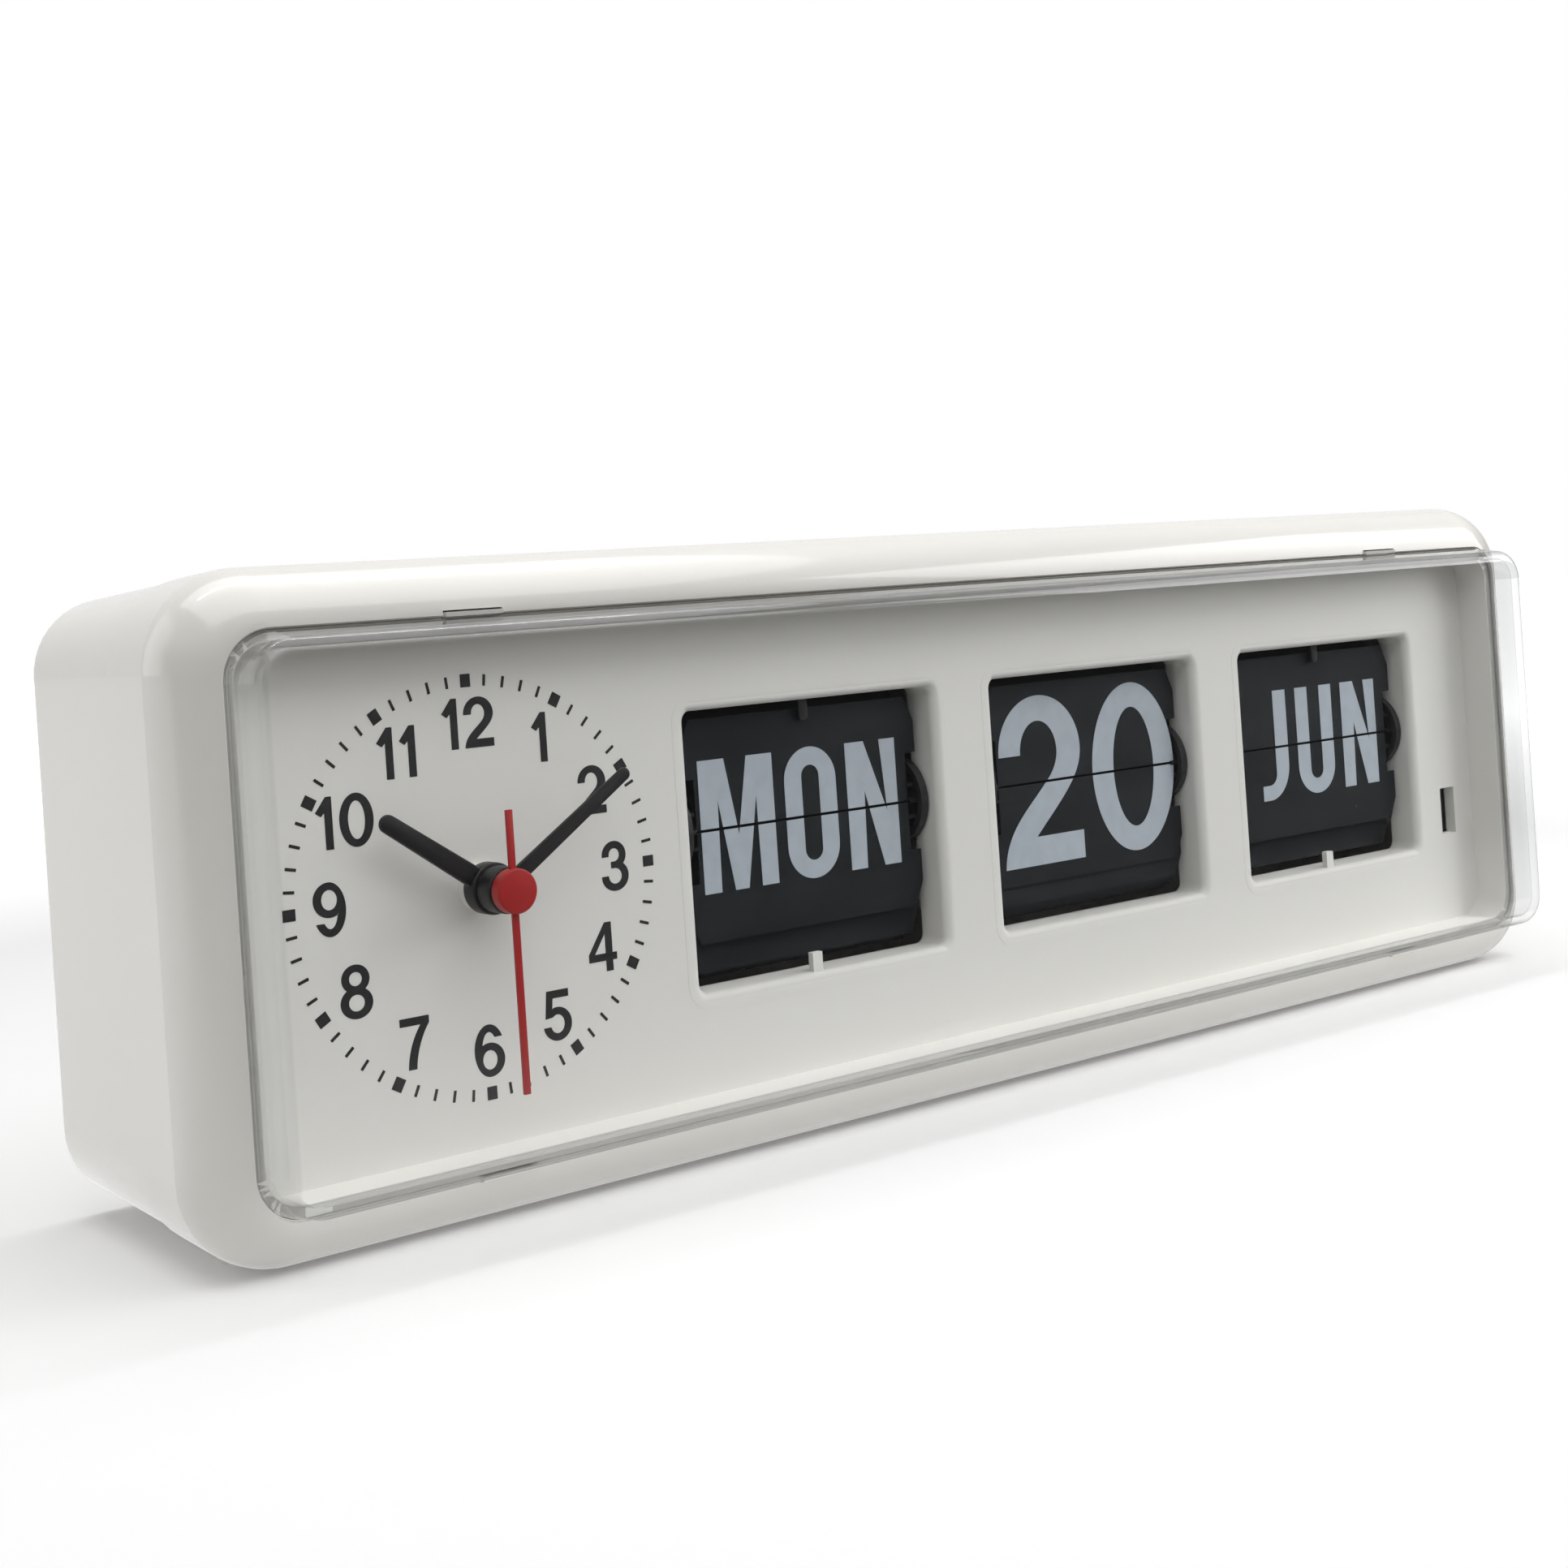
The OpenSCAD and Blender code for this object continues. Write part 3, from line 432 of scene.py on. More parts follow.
class Graph:
    """The nodes of one material or of the world."""

    def __init__(self, tree: bpy.types.NodeTree) -> None:
        """Start from an empty tree."""
        self.tree = tree
        tree.nodes.clear()

    def node(self, kind: str, settings: dict, sockets: dict, output: Union[int, str] = 0) -> Socket:
        """Add a node.

        Args:
            kind: Type of the node.
            settings: Its settings, which are set first.
            sockets: Values or links of its inputs, by name or number.
            output: The output that is returned, by name or number.

        Returns:
            The chosen output.
        """
        made = self.tree.nodes.new(kind)
        for key, value in settings.items():
            setattr(made, key, value)
        for key, value in sockets.items():
            if isinstance(value, Socket):
                self.tree.links.new(value.source, made.inputs[key])
            else:
                made.inputs[key].default_value = value
        return Socket(self, made.outputs[output] if made.outputs else None)

    def maths(self, operation: str, first: Value, second: Value) -> Socket:
        """Add a Math node on two values."""
        return self.node("ShaderNodeMath", {"operation": operation}, {0: first, 1: second})

    def blend(self, share: Value, first: Mix, second: Mix) -> Socket:
        """Mix two colours by a share of the second."""
        return self.node("ShaderNodeMix", {"data_type": "RGBA"}, {0: share, 6: first, 7: second}, 2)

    def place(self) -> Socket:
        """Object coordinates of the surface."""
        return self.node("ShaderNodeTexCoord", {}, {}, "Object")

    def noise(self, scale: float, detail: float = 2.0, stretch: Sequence[float] = (1, 1, 1)) -> Socket:
        """Noise in object coordinates, from 0 to 1.

        Args:
            scale: Number of features in a metre.
            detail: Octaves of the noise.
            stretch: Scale along each axis.

        Returns:
            The noise value.
        """
        spot = self.node("ShaderNodeMapping", {}, {"Vector": self.place(), "Scale": stretch})
        return self.node("ShaderNodeTexNoise", {}, {"Vector": spot, "Scale": scale, "Detail": detail})

    def band(self, value: Socket, low: float, high: float) -> Socket:
        """Part of a value between two limits, spread from 0 to 1."""
        return self.node("ShaderNodeMapRange", {}, {"Value": value, "From Min": low, "From Max": high})

    def along(self, vector: Socket, axis: Sequence[float]) -> Socket:
        """Part of a vector along an axis."""
        return self.node("ShaderNodeVectorMath", {"operation": "DOT_PRODUCT"}, {0: vector, 1: axis}, "Value")

    def bump(self, height: Socket, depth: float) -> Socket:
        """Normal of a surface with the given relief, its depth in metres."""
        return self.node("ShaderNodeBump", {}, {"Height": height, "Strength": 1.0, "Distance": depth})

    def away(self, axis: Sequence[float], middle: float = 0.0) -> Socket:
        """Distance of the surface from a plane across an axis."""
        return self.maths("ABSOLUTE", self.along(self.place(), axis) - middle, 0.0)

    def ray(self, fact: str) -> Socket:
        """A fact about the ray that meets the surface, by its name."""
        return self.node("ShaderNodeLightPath", {}, {}, fact)

    def seen(self) -> Socket:
        """Share of rays that look at the surface from the camera, straight or through the lens.

        Returns:
            1 for such a ray and 0 for any other.
        """
        names = ("Is Camera Ray", "Is Transmission Ray", "Diffuse Depth", "Glossy Depth")
        straight, through, spread, shine = [self.ray(name) for name in names]
        direct = 1 - self.maths("MINIMUM", spread + shine, 1.0)
        return self.maths("MAXIMUM", straight, through * direct)

    def surface(self, sockets: dict) -> Socket:
        """Add a Principled shader."""
        return self.node("ShaderNodeBsdfPrincipled", {}, sockets)

    def light(self, kind: str, strength: Value) -> Socket:
        """Add a shader that gives white light."""
        return self.node(kind, {}, {"Color": WHITE, "Strength": strength})

    def mixed(self, share: Value, first: Socket, second: Socket) -> Socket:
        """Mix two shaders by a share of the second."""
        return self.node("ShaderNodeMixShader", {}, {0: share, 1: first, 2: second})

    def output(self, shader: Socket) -> None:
        """Link a shader to the material's output."""
        self.node("ShaderNodeOutputMaterial", {}, {"Surface": shader})


def new_finish(name: str) -> tuple[Material, Graph]:
    """Start a material with an empty graph.

    Args:
        name: Name of the material.

    Returns:
        The material and its graph.
    """
    material = bpy.data.materials.new(name)
    material.use_nodes = True
    return material, Graph(material.node_tree)


class Finish:
    """A finish, which makes its own material."""

    name: str

    def shader(self, graph: Graph) -> Socket:
        """Shader of the surface, which each kind of finish makes its own way."""
        raise NotImplementedError

    def material(self) -> Material:
        """Make the material.

        Returns:
            The material.
        """
        made, graph = new_finish(self.name)
        graph.output(self.shader(graph))
        return made


@dataclass(frozen=True)
class MouldedPlastic(Finish):
    """Moulded plastic with a fine spark grain, faint cloudiness and a soft sheen."""

    name: str
    colour: Colour
    shade: Colour
    roughness: float
    grain: float = 2600.0
    depth: float = 0.012 * MM
    coat: float = 0.0
    coat_roughness: float = 0.06
    rub: float = 0.12
    rub_scale: float = 140.0
    cloud_scale: float = 22.0

    def shader(self, graph: Graph) -> Socket:
        """Shader of the plastic.

        Args:
            graph: Graph that takes the nodes.

        Returns:
            The shader.
        """
        cloud = graph.noise(self.cloud_scale, 3.0)
        rub = graph.noise(self.rub_scale, 3.0)
        return graph.surface({
            "Base Color": graph.blend(cloud, self.colour, self.shade),
            "Roughness": self.roughness + (rub - 0.5) * self.rub,
            "Coat Weight": self.coat,
            "Coat Roughness": self.coat_roughness,
            "Normal": graph.bump(graph.noise(self.grain), self.depth),
        })


@dataclass(frozen=True)
class ClearLens(Finish):
    """Clear moulded acrylic, thin enough not to bend the view, that lets the lamps through.

    Its end walls carry a painted grey shade and the surfaces seen edge-on a painted dark shade, both
    standing in for the shade that the acrylic shows there; its base doesn't show where it lies on the rim of
    the panel, and its four tabs are frosted.
    """

    name: str = "clear_acrylic"
    colour: Colour = (0.99, 0.992, 0.992, 1.0)
    wipe_scale: float = 60.0
    wipe_band: Point = (0.45, 0.9)
    wipe_roughness: float = 0.02
    coat: float = 1.0
    coat_roughness: float = 0.02
    bend: float = 1.001
    gloss_bend: float = 1.49
    # Painted shade of the surfaces seen edge-on, and the facing range over which it comes in.
    edge_colour: Colour = (0.34, 0.35, 0.35, 1.0)
    edge_band: Point = (0.58, 0.95)
    # Painted grey shade of the lens's end walls, and the span across the width over which it comes in.
    wall_colour: Colour = (0.83, 0.835, 0.84, 1.0)
    wall_band: Point = (181.0 * MM, 181.6 * MM)
    seat_half: float = 0.02 * MM
    tab_rise: Point = (51.22 * MM, 51.25 * MM)
    frost_colour: Colour = tone(228, 227, 222)
    frost_roughness: float = 0.5

    def shader(self, graph: Graph) -> Socket:
        """Shader of the lens.

        Args:
            graph: Graph that takes the nodes.

        Returns:
            The shader.
        """
        wipe = graph.noise(self.wipe_scale, 4.0, (1, 1, 0.25))
        turned = graph.node("ShaderNodeLayerWeight", {}, {"Blend": 0.5}, "Facing")
        # Painted shade: the end walls of the lens are greyed, standing in for the shade seen through the
        # acrylic there.
        wall = graph.band(graph.away((1, 0, 0)), *self.wall_band)
        end_shaded_colour = graph.blend(wall, self.colour, self.wall_colour)
        clear = graph.surface({
            # Painted shade: the base colour turns grey where the surface is seen edge-on, standing in for
            # the shade at the lens's turned edges.
            "Base Color": graph.blend(graph.band(turned, *self.edge_band), end_shaded_colour, self.edge_colour),
            "Roughness": graph.band(wipe, *self.wipe_band) * self.wipe_roughness,
            "IOR": self.bend,
            "Transmission Weight": 1.0,
            "Coat Weight": self.coat,
            "Coat Roughness": self.coat_roughness,
            "Coat IOR": self.gloss_bend,
        })
        frost = graph.surface({"Base Color": self.frost_colour, "Roughness": self.frost_roughness})
        through = graph.node("ShaderNodeBsdfTransparent", {}, {"Color": self.colour})
        tab = graph.band(graph.away((0, 0, 1), LENS_MIDDLE_Z), *self.tab_rise)
        base = graph.maths("LESS_THAN", graph.away((0, 1, 0), LENS_BASE_Y), self.seat_half)
        seated = graph.mixed(base, graph.mixed(tab, clear, frost), through)
        return graph.mixed(graph.ray("Is Shadow Ray"), seated, through)


@dataclass(frozen=True)
class LeafFilm(Finish):
    """Near black leaf of stiff film with handling haze and a few specks of dust."""

    name: str = "leaf_film"
    colour: Colour = tone(20, 24, 27)
    haze: Colour = tone(32, 36, 40)
    haze_scale: float = 70.0
    dust: Colour = tone(120, 124, 126)
    dust_scale: float = 130.0
    dust_size: Point = (0.02, 0.035)
    dust_share: float = 0.8
    rare_scale: float = 45.0
    rare_band: Point = (0.6, 0.64)
    haze_band: Point = (0.35, 0.75)
    roughness: float = 0.5
    uneven: float = 0.25
    shine: float = 0.2
    grain: float = 1800.0
    depth: float = 0.004 * MM

    def shader(self, graph: Graph) -> Socket:
        """Shader of the film.

        Args:
            graph: Graph that takes the nodes.

        Returns:
            The shader.
        """
        haze = graph.noise(self.haze_scale, 4.0, (0.5, 1, 1.6))
        spot = graph.node("ShaderNodeTexVoronoi", {},
                          {"Vector": graph.place(), "Scale": self.dust_scale}, "Distance")
        rare = graph.band(graph.noise(self.rare_scale, 1.0), *self.rare_band)
        speck = (1 - graph.band(spot, *self.dust_size)) * rare
        base = graph.blend(graph.band(haze, *self.haze_band), self.colour, self.haze)
        return graph.surface({
            "Base Color": graph.blend(speck * self.dust_share, base, self.dust),
            "Roughness": self.roughness + (haze - 0.5) * self.uneven,
            "Specular IOR Level": self.shine,
            "Normal": graph.bump(graph.noise(self.grain), self.depth),
        })


@dataclass(frozen=True)
class PrintInk(Finish):
    """Screen printed ink, a little uneven in its cover."""

    name: str
    colour: Colour
    thin: Colour
    roughness: float = 0.55
    uneven: float = 0.15
    cover_scale: float = 320.0
    cover_band: Point = (0.35, 0.75)
    grain: float = 2400.0
    depth: float = 0.003 * MM

    def shader(self, graph: Graph) -> Socket:
        """Shader of the ink.

        Args:
            graph: Graph that takes the nodes.

        Returns:
            The shader.
        """
        cover = graph.noise(self.cover_scale, 4.0)
        return graph.surface({
            "Base Color": graph.blend(graph.band(cover, *self.cover_band), self.colour, self.thin),
            "Roughness": self.roughness + (cover - 0.5) * self.uneven,
            "Normal": graph.bump(graph.noise(self.grain), self.depth),
        })


@dataclass(frozen=True)
class DrawnMetal(Finish):
    """Bare metal with fine drawing lines along the clock's width."""

    name: str
    colour: Colour
    roughness: float
    uneven: float = 0.2
    line_scale: float = 900.0
    line_depth: float = 0.004 * MM

    def shader(self, graph: Graph) -> Socket:
        """Shader of the metal.

        Args:
            graph: Graph that takes the nodes.

        Returns:
            The shader.
        """
        lines = graph.noise(self.line_scale, 3.0, (0.06, 1, 1))
        return graph.surface({
            "Base Color": self.colour,
            "Metallic": 1.0,
            "Roughness": self.roughness + (lines - 0.5) * self.uneven,
            "Normal": graph.bump(lines, self.line_depth),
        })


@dataclass(frozen=True)
class BoardMask(Finish):
    """Green solder mask over a faint pattern of copper runs."""

    name: str = "board_mask"
    colour: Colour = tone(24, 84, 52)
    run: Colour = tone(40, 112, 66)
    run_scale: float = 110.0
    run_band: Point = (0.62, 0.72)
    run_depth: float = 0.02 * MM
    roughness: float = 0.4
    run_smooth: float = 0.08

    def shader(self, graph: Graph) -> Socket:
        """Shader of the board.

        Args:
            graph: Graph that takes the nodes.

        Returns:
            The shader.
        """
        sockets = {"Vector": graph.place(), "Scale": self.run_scale, "Distortion": 3.0, "Detail": 1.0}
        wave = graph.node("ShaderNodeTexWave", {"bands_direction": "Z"}, sockets, "Fac")
        run = graph.band(wave, *self.run_band)
        return graph.surface({
            "Base Color": graph.blend(run, self.colour, self.run),
            "Roughness": self.roughness - run * self.run_smooth,
            "Normal": graph.bump(run, self.run_depth),
        })


@dataclass(frozen=True)
class CellSleeve(Finish):
    """Plain sleeve of the dry cell with a lighter band at one end."""

    name: str = "cell_sleeve"
    colour: Colour = tone(58, 64, 72)
    band_colour: Colour = tone(150, 152, 150)
    band_share: float = 0.3
    band_blur: float = 0.1 * MM
    roughness: float = 0.3
    scuff: float = 0.15
    scuff_scale: float = 180.0

    def shader(self, graph: Graph) -> Socket:
        """Shader of the sleeve.

        Args:
            graph: Graph that takes the nodes.

        Returns:
            The shader.
        """
        low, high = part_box("dry_cell")
        edge = low[0] + self.band_share * (high[0] - low[0])
        end = graph.band(graph.along(graph.place(), (1, 0, 0)), edge, edge + self.band_blur)
        return graph.surface({
            "Base Color": graph.blend(end, self.band_colour, self.colour),
            "Roughness": self.roughness + graph.noise(self.scuff_scale, 4.0) * self.scuff,
        })


@dataclass(frozen=True)
class Finishes:
    """The material of every finish of the clock."""

    case: Material
    panel: Material
    lens: Material
    hands: Material
    second: Material
    leaf: Material
    frame: Material
    steel: Material
    brass: Material
    board: Material
    cell: Material
    rubber: Material
    dial_ink: Material
    leaf_ink: Material


def make_finishes() -> Finishes:
    """Make each finish once.

    Returns:
        The materials, by what wears them.
    """
    looks = {
        "case": MouldedPlastic("case_plastic", tone(237, 235, 229), tone(232, 229, 222), 0.26,
                               coat=0.8, rub=0.03),
        "panel": MouldedPlastic("panel_plastic", tone(232, 231, 227), tone(227, 226, 221), 0.55,
                                depth=0.02 * MM),
        "lens": ClearLens(),
        "hands": MouldedPlastic("hand_black", tone(16, 16, 18), tone(22, 22, 24), 0.42),
        "second": MouldedPlastic("second_red", tone(178, 32, 32), tone(168, 28, 28), 0.42),
        "leaf": LeafFilm(),
        "frame": MouldedPlastic("frame_black", tone(34, 34, 36), tone(28, 28, 30), 0.5),
        "steel": DrawnMetal("drawn_steel", tone(196, 198, 202), 0.32),
        "brass": DrawnMetal("turned_brass", tone(206, 170, 96), 0.3),
        "board": BoardMask(),
        "cell": CellSleeve(),
        "rubber": MouldedPlastic("foot_rubber", tone(44, 44, 45), tone(52, 52, 52), 0.8),
        "dial_ink": PrintInk("dial_ink", tone(20, 20, 22), tone(28, 28, 30)),
        "leaf_ink": PrintInk("leaf_ink", tone(178, 187, 196), tone(169, 178, 187)),
    }
    return Finishes(**{name: look.material() for name, look in looks.items()})


# Lettering of the leaves, in millimetres from the left foot of each letter


def arc(centre: Point, across: float, up: float, start: float, end: float, count: int = 20) -> Outline:
    """Points along an arc of an ellipse.

    Args:
        centre: Middle of the ellipse.
        across: Half width.
        up: Half height.
        start: First angle in degrees.
        end: Last angle in degrees.
        count: Number of steps.

    Returns:
        The points, ends included.
    """
    turns = [math.radians(start + (end - start) * step / count) for step in range(count + 1)]
    return [(centre[0] + across * math.cos(turn), centre[1] + up * math.sin(turn)) for turn in turns]


def oval(centre: Point, across: float, up: float, count: int) -> Outline:
    """Points round a whole ellipse, each one once."""
    return arc(centre, across, up, 0, 360, count)[:-1]


def curve(start: Point, pull: Point, push: Point, end: Point, count: int = 14) -> Outline:
    """Points along a cubic curve, without its first point.

    Args:
        start: Where the curve starts.
        pull: First control point.
        push: Second control point.
        end: Where the curve ends.
        count: Number of steps.

    Returns:
        The points, the last one included.
    """
    points = []
    for step in range(1, count + 1):
        t = step / count
        s = 1 - t
        weights = (s ** 3, 3 * s * s * t, 3 * s * t * t, t ** 3)
        corners = (start, pull, push, end)
        points.append(tuple(sum(w * c[axis] for w, c in zip(weights, corners)) for axis in (0, 1)))
    return points


@dataclass(frozen=True)
class Glyph:
    """Width and closed outlines of one letter or digit."""

    width: float
    outlines: list[Outline]


@dataclass(frozen=True)
class NarrowCapitals:
    """Narrow capitals of the day and month leaves."""

    height: float = 27.6
    stem: float = 4.7
    over: float = 0.3

    def glyph(self, letter: str) -> Glyph:
        """Glyph of a capital.

        Args:
            letter: The letter or digit.

        Returns:
            Its width and outlines.
        """
        makers = {"M": self.m, "O": self.o, "N": self.n, "T": self.t, "U": self.u, "E": self.e,
                  "J": self.j, "L": self.l}
        return makers[letter]()

    def m(self) -> Glyph:
        """M with steep diagonals and a narrow middle foot.

        Returns:
            Its width and outlines.
        """
        width, foot, shoulder, stem = 19.5, 3.5, 6.8, 4.4
        notch, apex, lean = 11.5, 19.1, 0.3
        left, right = (width - foot) / 2, (width + foot) / 2
        top = self.height
        return Glyph(width, [[
            (0, 0), (stem, 0), (stem + lean, apex), (left, 0), (right, 0), (width - stem - lean, apex),
            (width - stem, 0), (width, 0), (width, top), (width - shoulder, top), (width / 2, notch),
            (shoulder, top), (0, top)]])

    def n(self) -> Glyph:
        """N with a steep diagonal.

        Returns:
            Its width and outlines.
        """
        width, stem, shoulder, foot = 14.3, 4.5, 5.3, 4.7
        apex, notch, slim = (4.9, 16.9), 11.8, 3.2
        top = self.height
        return Glyph(width, [[
            (0, 0), (stem, 0), apex, (width - foot, 0), (width, 0), (width, top), (width - stem, top),
            (width - slim, notch), (shoulder, top), (0, top)]])

    def o(self) -> Glyph:
        """O with straight sides and round ends.

        Returns:
            Its width and outlines.
        """
        width, counter, bar = 14.2, 4.8, 3.9
        middle = width / 2
        rise, low = self.height + self.over, -self.over

        def pill(half: float, inset: float) -> Outline:
            """Outline with round ends, set in from the top and the foot."""
            high, deep = (middle, rise - inset - half), (middle, low + inset + half)
            return arc(high, half, half, 0, 180) + arc(deep, half, half, 180, 360)

        return Glyph(width, [pill(middle, 0.0), pill(counter / 2, bar)])

    def u(self) -> Glyph:
        """U with a round foot.

        Returns:
            Its width and outlines.
        """
        width, stem, bar = 14.7, 4.9, 3.9
        outer, inner = width / 2, width / 2 - stem
        low, top = -self.over, self.height
        ring = arc((outer, low + outer), outer, outer, 180, 360) + [(width, top), (width - stem, top)]
        hole = arc((outer, low + bar + inner), inner, inner, 360, 180) + [(stem, top), (0, top)]
        return Glyph(width, [ring + hole])

    def j(self) -> Glyph:
        """J with a short hook that ends flat.

        Returns:
            Its width and outlines.
        """
        width, stem, bar, bend = 10.7, 5.0, 3.8, 2.7
        low = -self.over
        outer = arc((bend, low + 9.0), width - bend, 9.0, 0, -90)
        inner = arc((bend, low + bar + 3.0), width - stem - bend, 3.0, -90, 0)
        return Glyph(width, [[(width - stem, self.height), (width, self.height)] + outer
                             + [(0, low), (0, low + bar)] + inner])

    def t(self) -> Glyph:
        """T with a thick bar.

        Returns:
            Its width and outlines.
        """
        width, bar = 14.3, 4.6
        left, right = (width - self.stem) / 2, (width + self.stem) / 2
        top = self.height
        return Glyph(width, [[(left, 0), (right, 0), (right, top - bar), (width, top - bar), (width, top),
                              (0, top), (0, top - bar), (left, top - bar)]])

    def e(self) -> Glyph:
        """E with three bars.

        Returns:
            Its width and outlines.
        """
        width, middle, bar = 11.6, 10.6, 4.5
        top = self.height
        low, high = (top - bar) / 2, (top + bar) / 2
        stem = self.stem
        return Glyph(width, [[(0, 0), (width, 0), (width, bar), (stem, bar), (stem, low), (middle, low),
                              (middle, high), (stem, high), (stem, top - bar), (width, top - bar),
                              (width, top), (0, top)]])

    def l(self) -> Glyph:
        """L with one bar.

        Returns:
            Its width and outlines.
        """
        width, bar = 11.2, 4.5
        return Glyph(width, [[(0, 0), (width, 0), (width, bar), (self.stem, bar), (self.stem, self.height),
                              (0, self.height)]])


@dataclass(frozen=True)
class TallDigits:
    """Heavy digits of the date leaves and, smaller, of the dial."""

    height: float = 39.4
    over: float = 0.6
    side: float = 6.9

    def glyph(self, letter: str) -> Glyph:
        """Glyph of a digit.

        Args:
            letter: The letter or digit.

        Returns:
            Its width and outlines.
        """
        makers = (self.zero, self.one, self.two, self.three, self.four, self.five, self.six, self.seven,
                  self.eight, self.nine)
        return makers[int(letter)]()

    def zero(self) -> Glyph:
        """0 as an oval with thinner top and bottom.

        Returns:
            Its width and outlines.
        """
        width, stroke, bar = 28.4, 7.2, 5.9
        outer = (width / 2, self.height / 2)
        tall = self.height / 2 + self.over
        ring = oval(outer, width / 2, tall, 72)
        hole = oval(outer, width / 2 - stroke, tall - bar, 64)
        return Glyph(width, [ring, hole])

    def one(self) -> Glyph:
        """1 with a slanted flag.

        Returns:
            Its width and outlines.
        """
        width, stem, shoulder = 13.8, 6.4, 4.9
        left = width - stem
        return Glyph(width, [[(left, 0), (width, 0), (width, self.height), (width - shoulder, self.height),
                              (0, 28.0), (4.5, 24.8), (left, 27.5)]])

    def two(self) -> Glyph:
        """2 with a round bowl, a level cut end and a straight base.

        Returns:
            Its width and outlines.
        """
        width, bar, stroke, side = 26.6, 6.6, 5.9, self.side
        middle, cut = 26.3, 25.9
        bowl = (width / 2, middle)
        eye = (12.85, middle)
        eye_half = eye[0] - side
        neck, waist, corner = (eye[0] + eye_half, middle), (15.0, 19.2), (10.7, bar)
        points = [(0, cut)] + arc(bowl, width / 2, self.height - middle, 180, 0, 30)
        points += curve(points[-1], (width, 19.5), (19.6, 14.6), corner)
        points += [(width - 0.4, bar), (width - 0.4, 0), (0.2, 0)]
        points += curve(points[-1], (0.8, 8.8), (8.2, 13.0), waist)
        points += curve(waist, (17.4, 21.3), (neck[0], 23.6), neck)
        points += arc(eye, eye_half, self.height - stroke - middle, 0, 180, 26)[1:] + [(side, cut)]
        return Glyph(width, [points])

    def three(self) -> Glyph:
        """3 with two open bowls and a short middle bar.

        Returns:
            Its width and outlines.
        """
        width, bar_end = 26.0, 9.4
        upper, lower = (12.6, 28.6), (12.9, 11.6)
        points = [(1.0, 27.4)] + arc(upper, 11.6, 11.3, 180, -42, 30)
        points += arc(lower, 13.0, 12.2, 47, -180, 34) + [(0.0, 12.0), (6.7, 12.0)]
        points += arc(lower, 6.2, 6.3, 180, 450, 30) + [(bar_end, 17.9), (bar_end, 23.3)]
        points += arc(upper, 5.0, 5.3, -90, 180, 26) + [(7.6, 27.4)]
        return Glyph(width, [points])

    def four(self) -> Glyph:
        """4 with a closed triangle and a foot past the bar.

        Returns:
            Its width and outlines.
        """
        width, left, right, low, high = 27.0, 16.2, 22.9, 8.6, 14.6
        top = self.height
        ring = [(left, 0), (right, 0), (right, low), (width, low), (width, high), (right, high),
                (right, top), (left + 0.2, top), (0, high + 0.3), (0, low), (left, low)]
        return Glyph(width, [ring, [(5.9, high), (left, high), (left, 30.2)]])

    def five(self) -> Glyph:
        """5 with a flat top bar and an open bowl.

        Returns:
            Its width and outlines.
        """
        width, bar = 26.2, 6.2
        bowl = (12.9, 12.7)
        top = self.height
        points = [(3.9, top), (24.2, top), (24.2, top - bar), (9.4, top - bar), (8.5, 24.6)]
        points += arc(bowl, 13.2, 13.3, 106, -172, 40) + [(-0.3, 10.9), (6.6, 10.9)]
        points += arc(bowl, 6.4, 7.4, 192, 490, 34) + [(1.8, 17.6)]
        return Glyph(width, [points])

    def six(self) -> Glyph:
        """6 with a round bowl and an open top.

        Returns:
            Its width and outlines.
        """
        width = 27.0
        spine, bowl = (13.6, 19.7), (13.6, 12.6)
        points = arc(spine, 13.4, 20.3, 29, 270, 46) + arc(bowl, 13.3, 13.2, 270, 482, 40)
        points += arc(spine, 6.6, 14.4, 165, 43, 22)
        return Glyph(width, [points, oval(bowl, 6.4, 7.5, 40)])

    def seven(self) -> Glyph:
        """7 with a curved stem.

        Returns:
            Its width and outlines.
        """
        width, bar = 25.2, 6.2
        top = self.height
        points = [(0, top), (width, top), (width, top - bar + 0.6)]
        points += curve(points[-1], (18.0, 24.5), (13.4, 12.0), (12.6, 0)) + [(5.4, 0)]
        points += curve(points[-1], (6.3, 12.5), (10.5, 23.5), (17.6, top - bar)) + [(0, top - bar)]
        return Glyph(width, [points])

    def eight(self) -> Glyph:
        """8 with a smaller upper bowl.

        Returns:
            Its width and outlines.
        """
        width = 27.0
        upper, lower = (13.5, 29.2), (13.5, 11.3)
        ring = arc(upper, 11.7, 10.8, -48.7, 228.7, 40) + arc(lower, 13.5, 11.9, 124.7, 415.3, 44)
        return Glyph(width, [ring, oval(upper, 5.3, 5.2, 36), oval(lower, 6.5, 6.2, 36)])

    def nine(self) -> Glyph:
        """9 as the 6 turned over.

        Returns:
            Its width and outlines.
        """
        six = self.six()
        turned = [[(six.width - x, self.height - y) for x, y in line] for line in six.outlines]
        return Glyph(six.width, turned)


Alphabet = Union[NarrowCapitals, TallDigits]


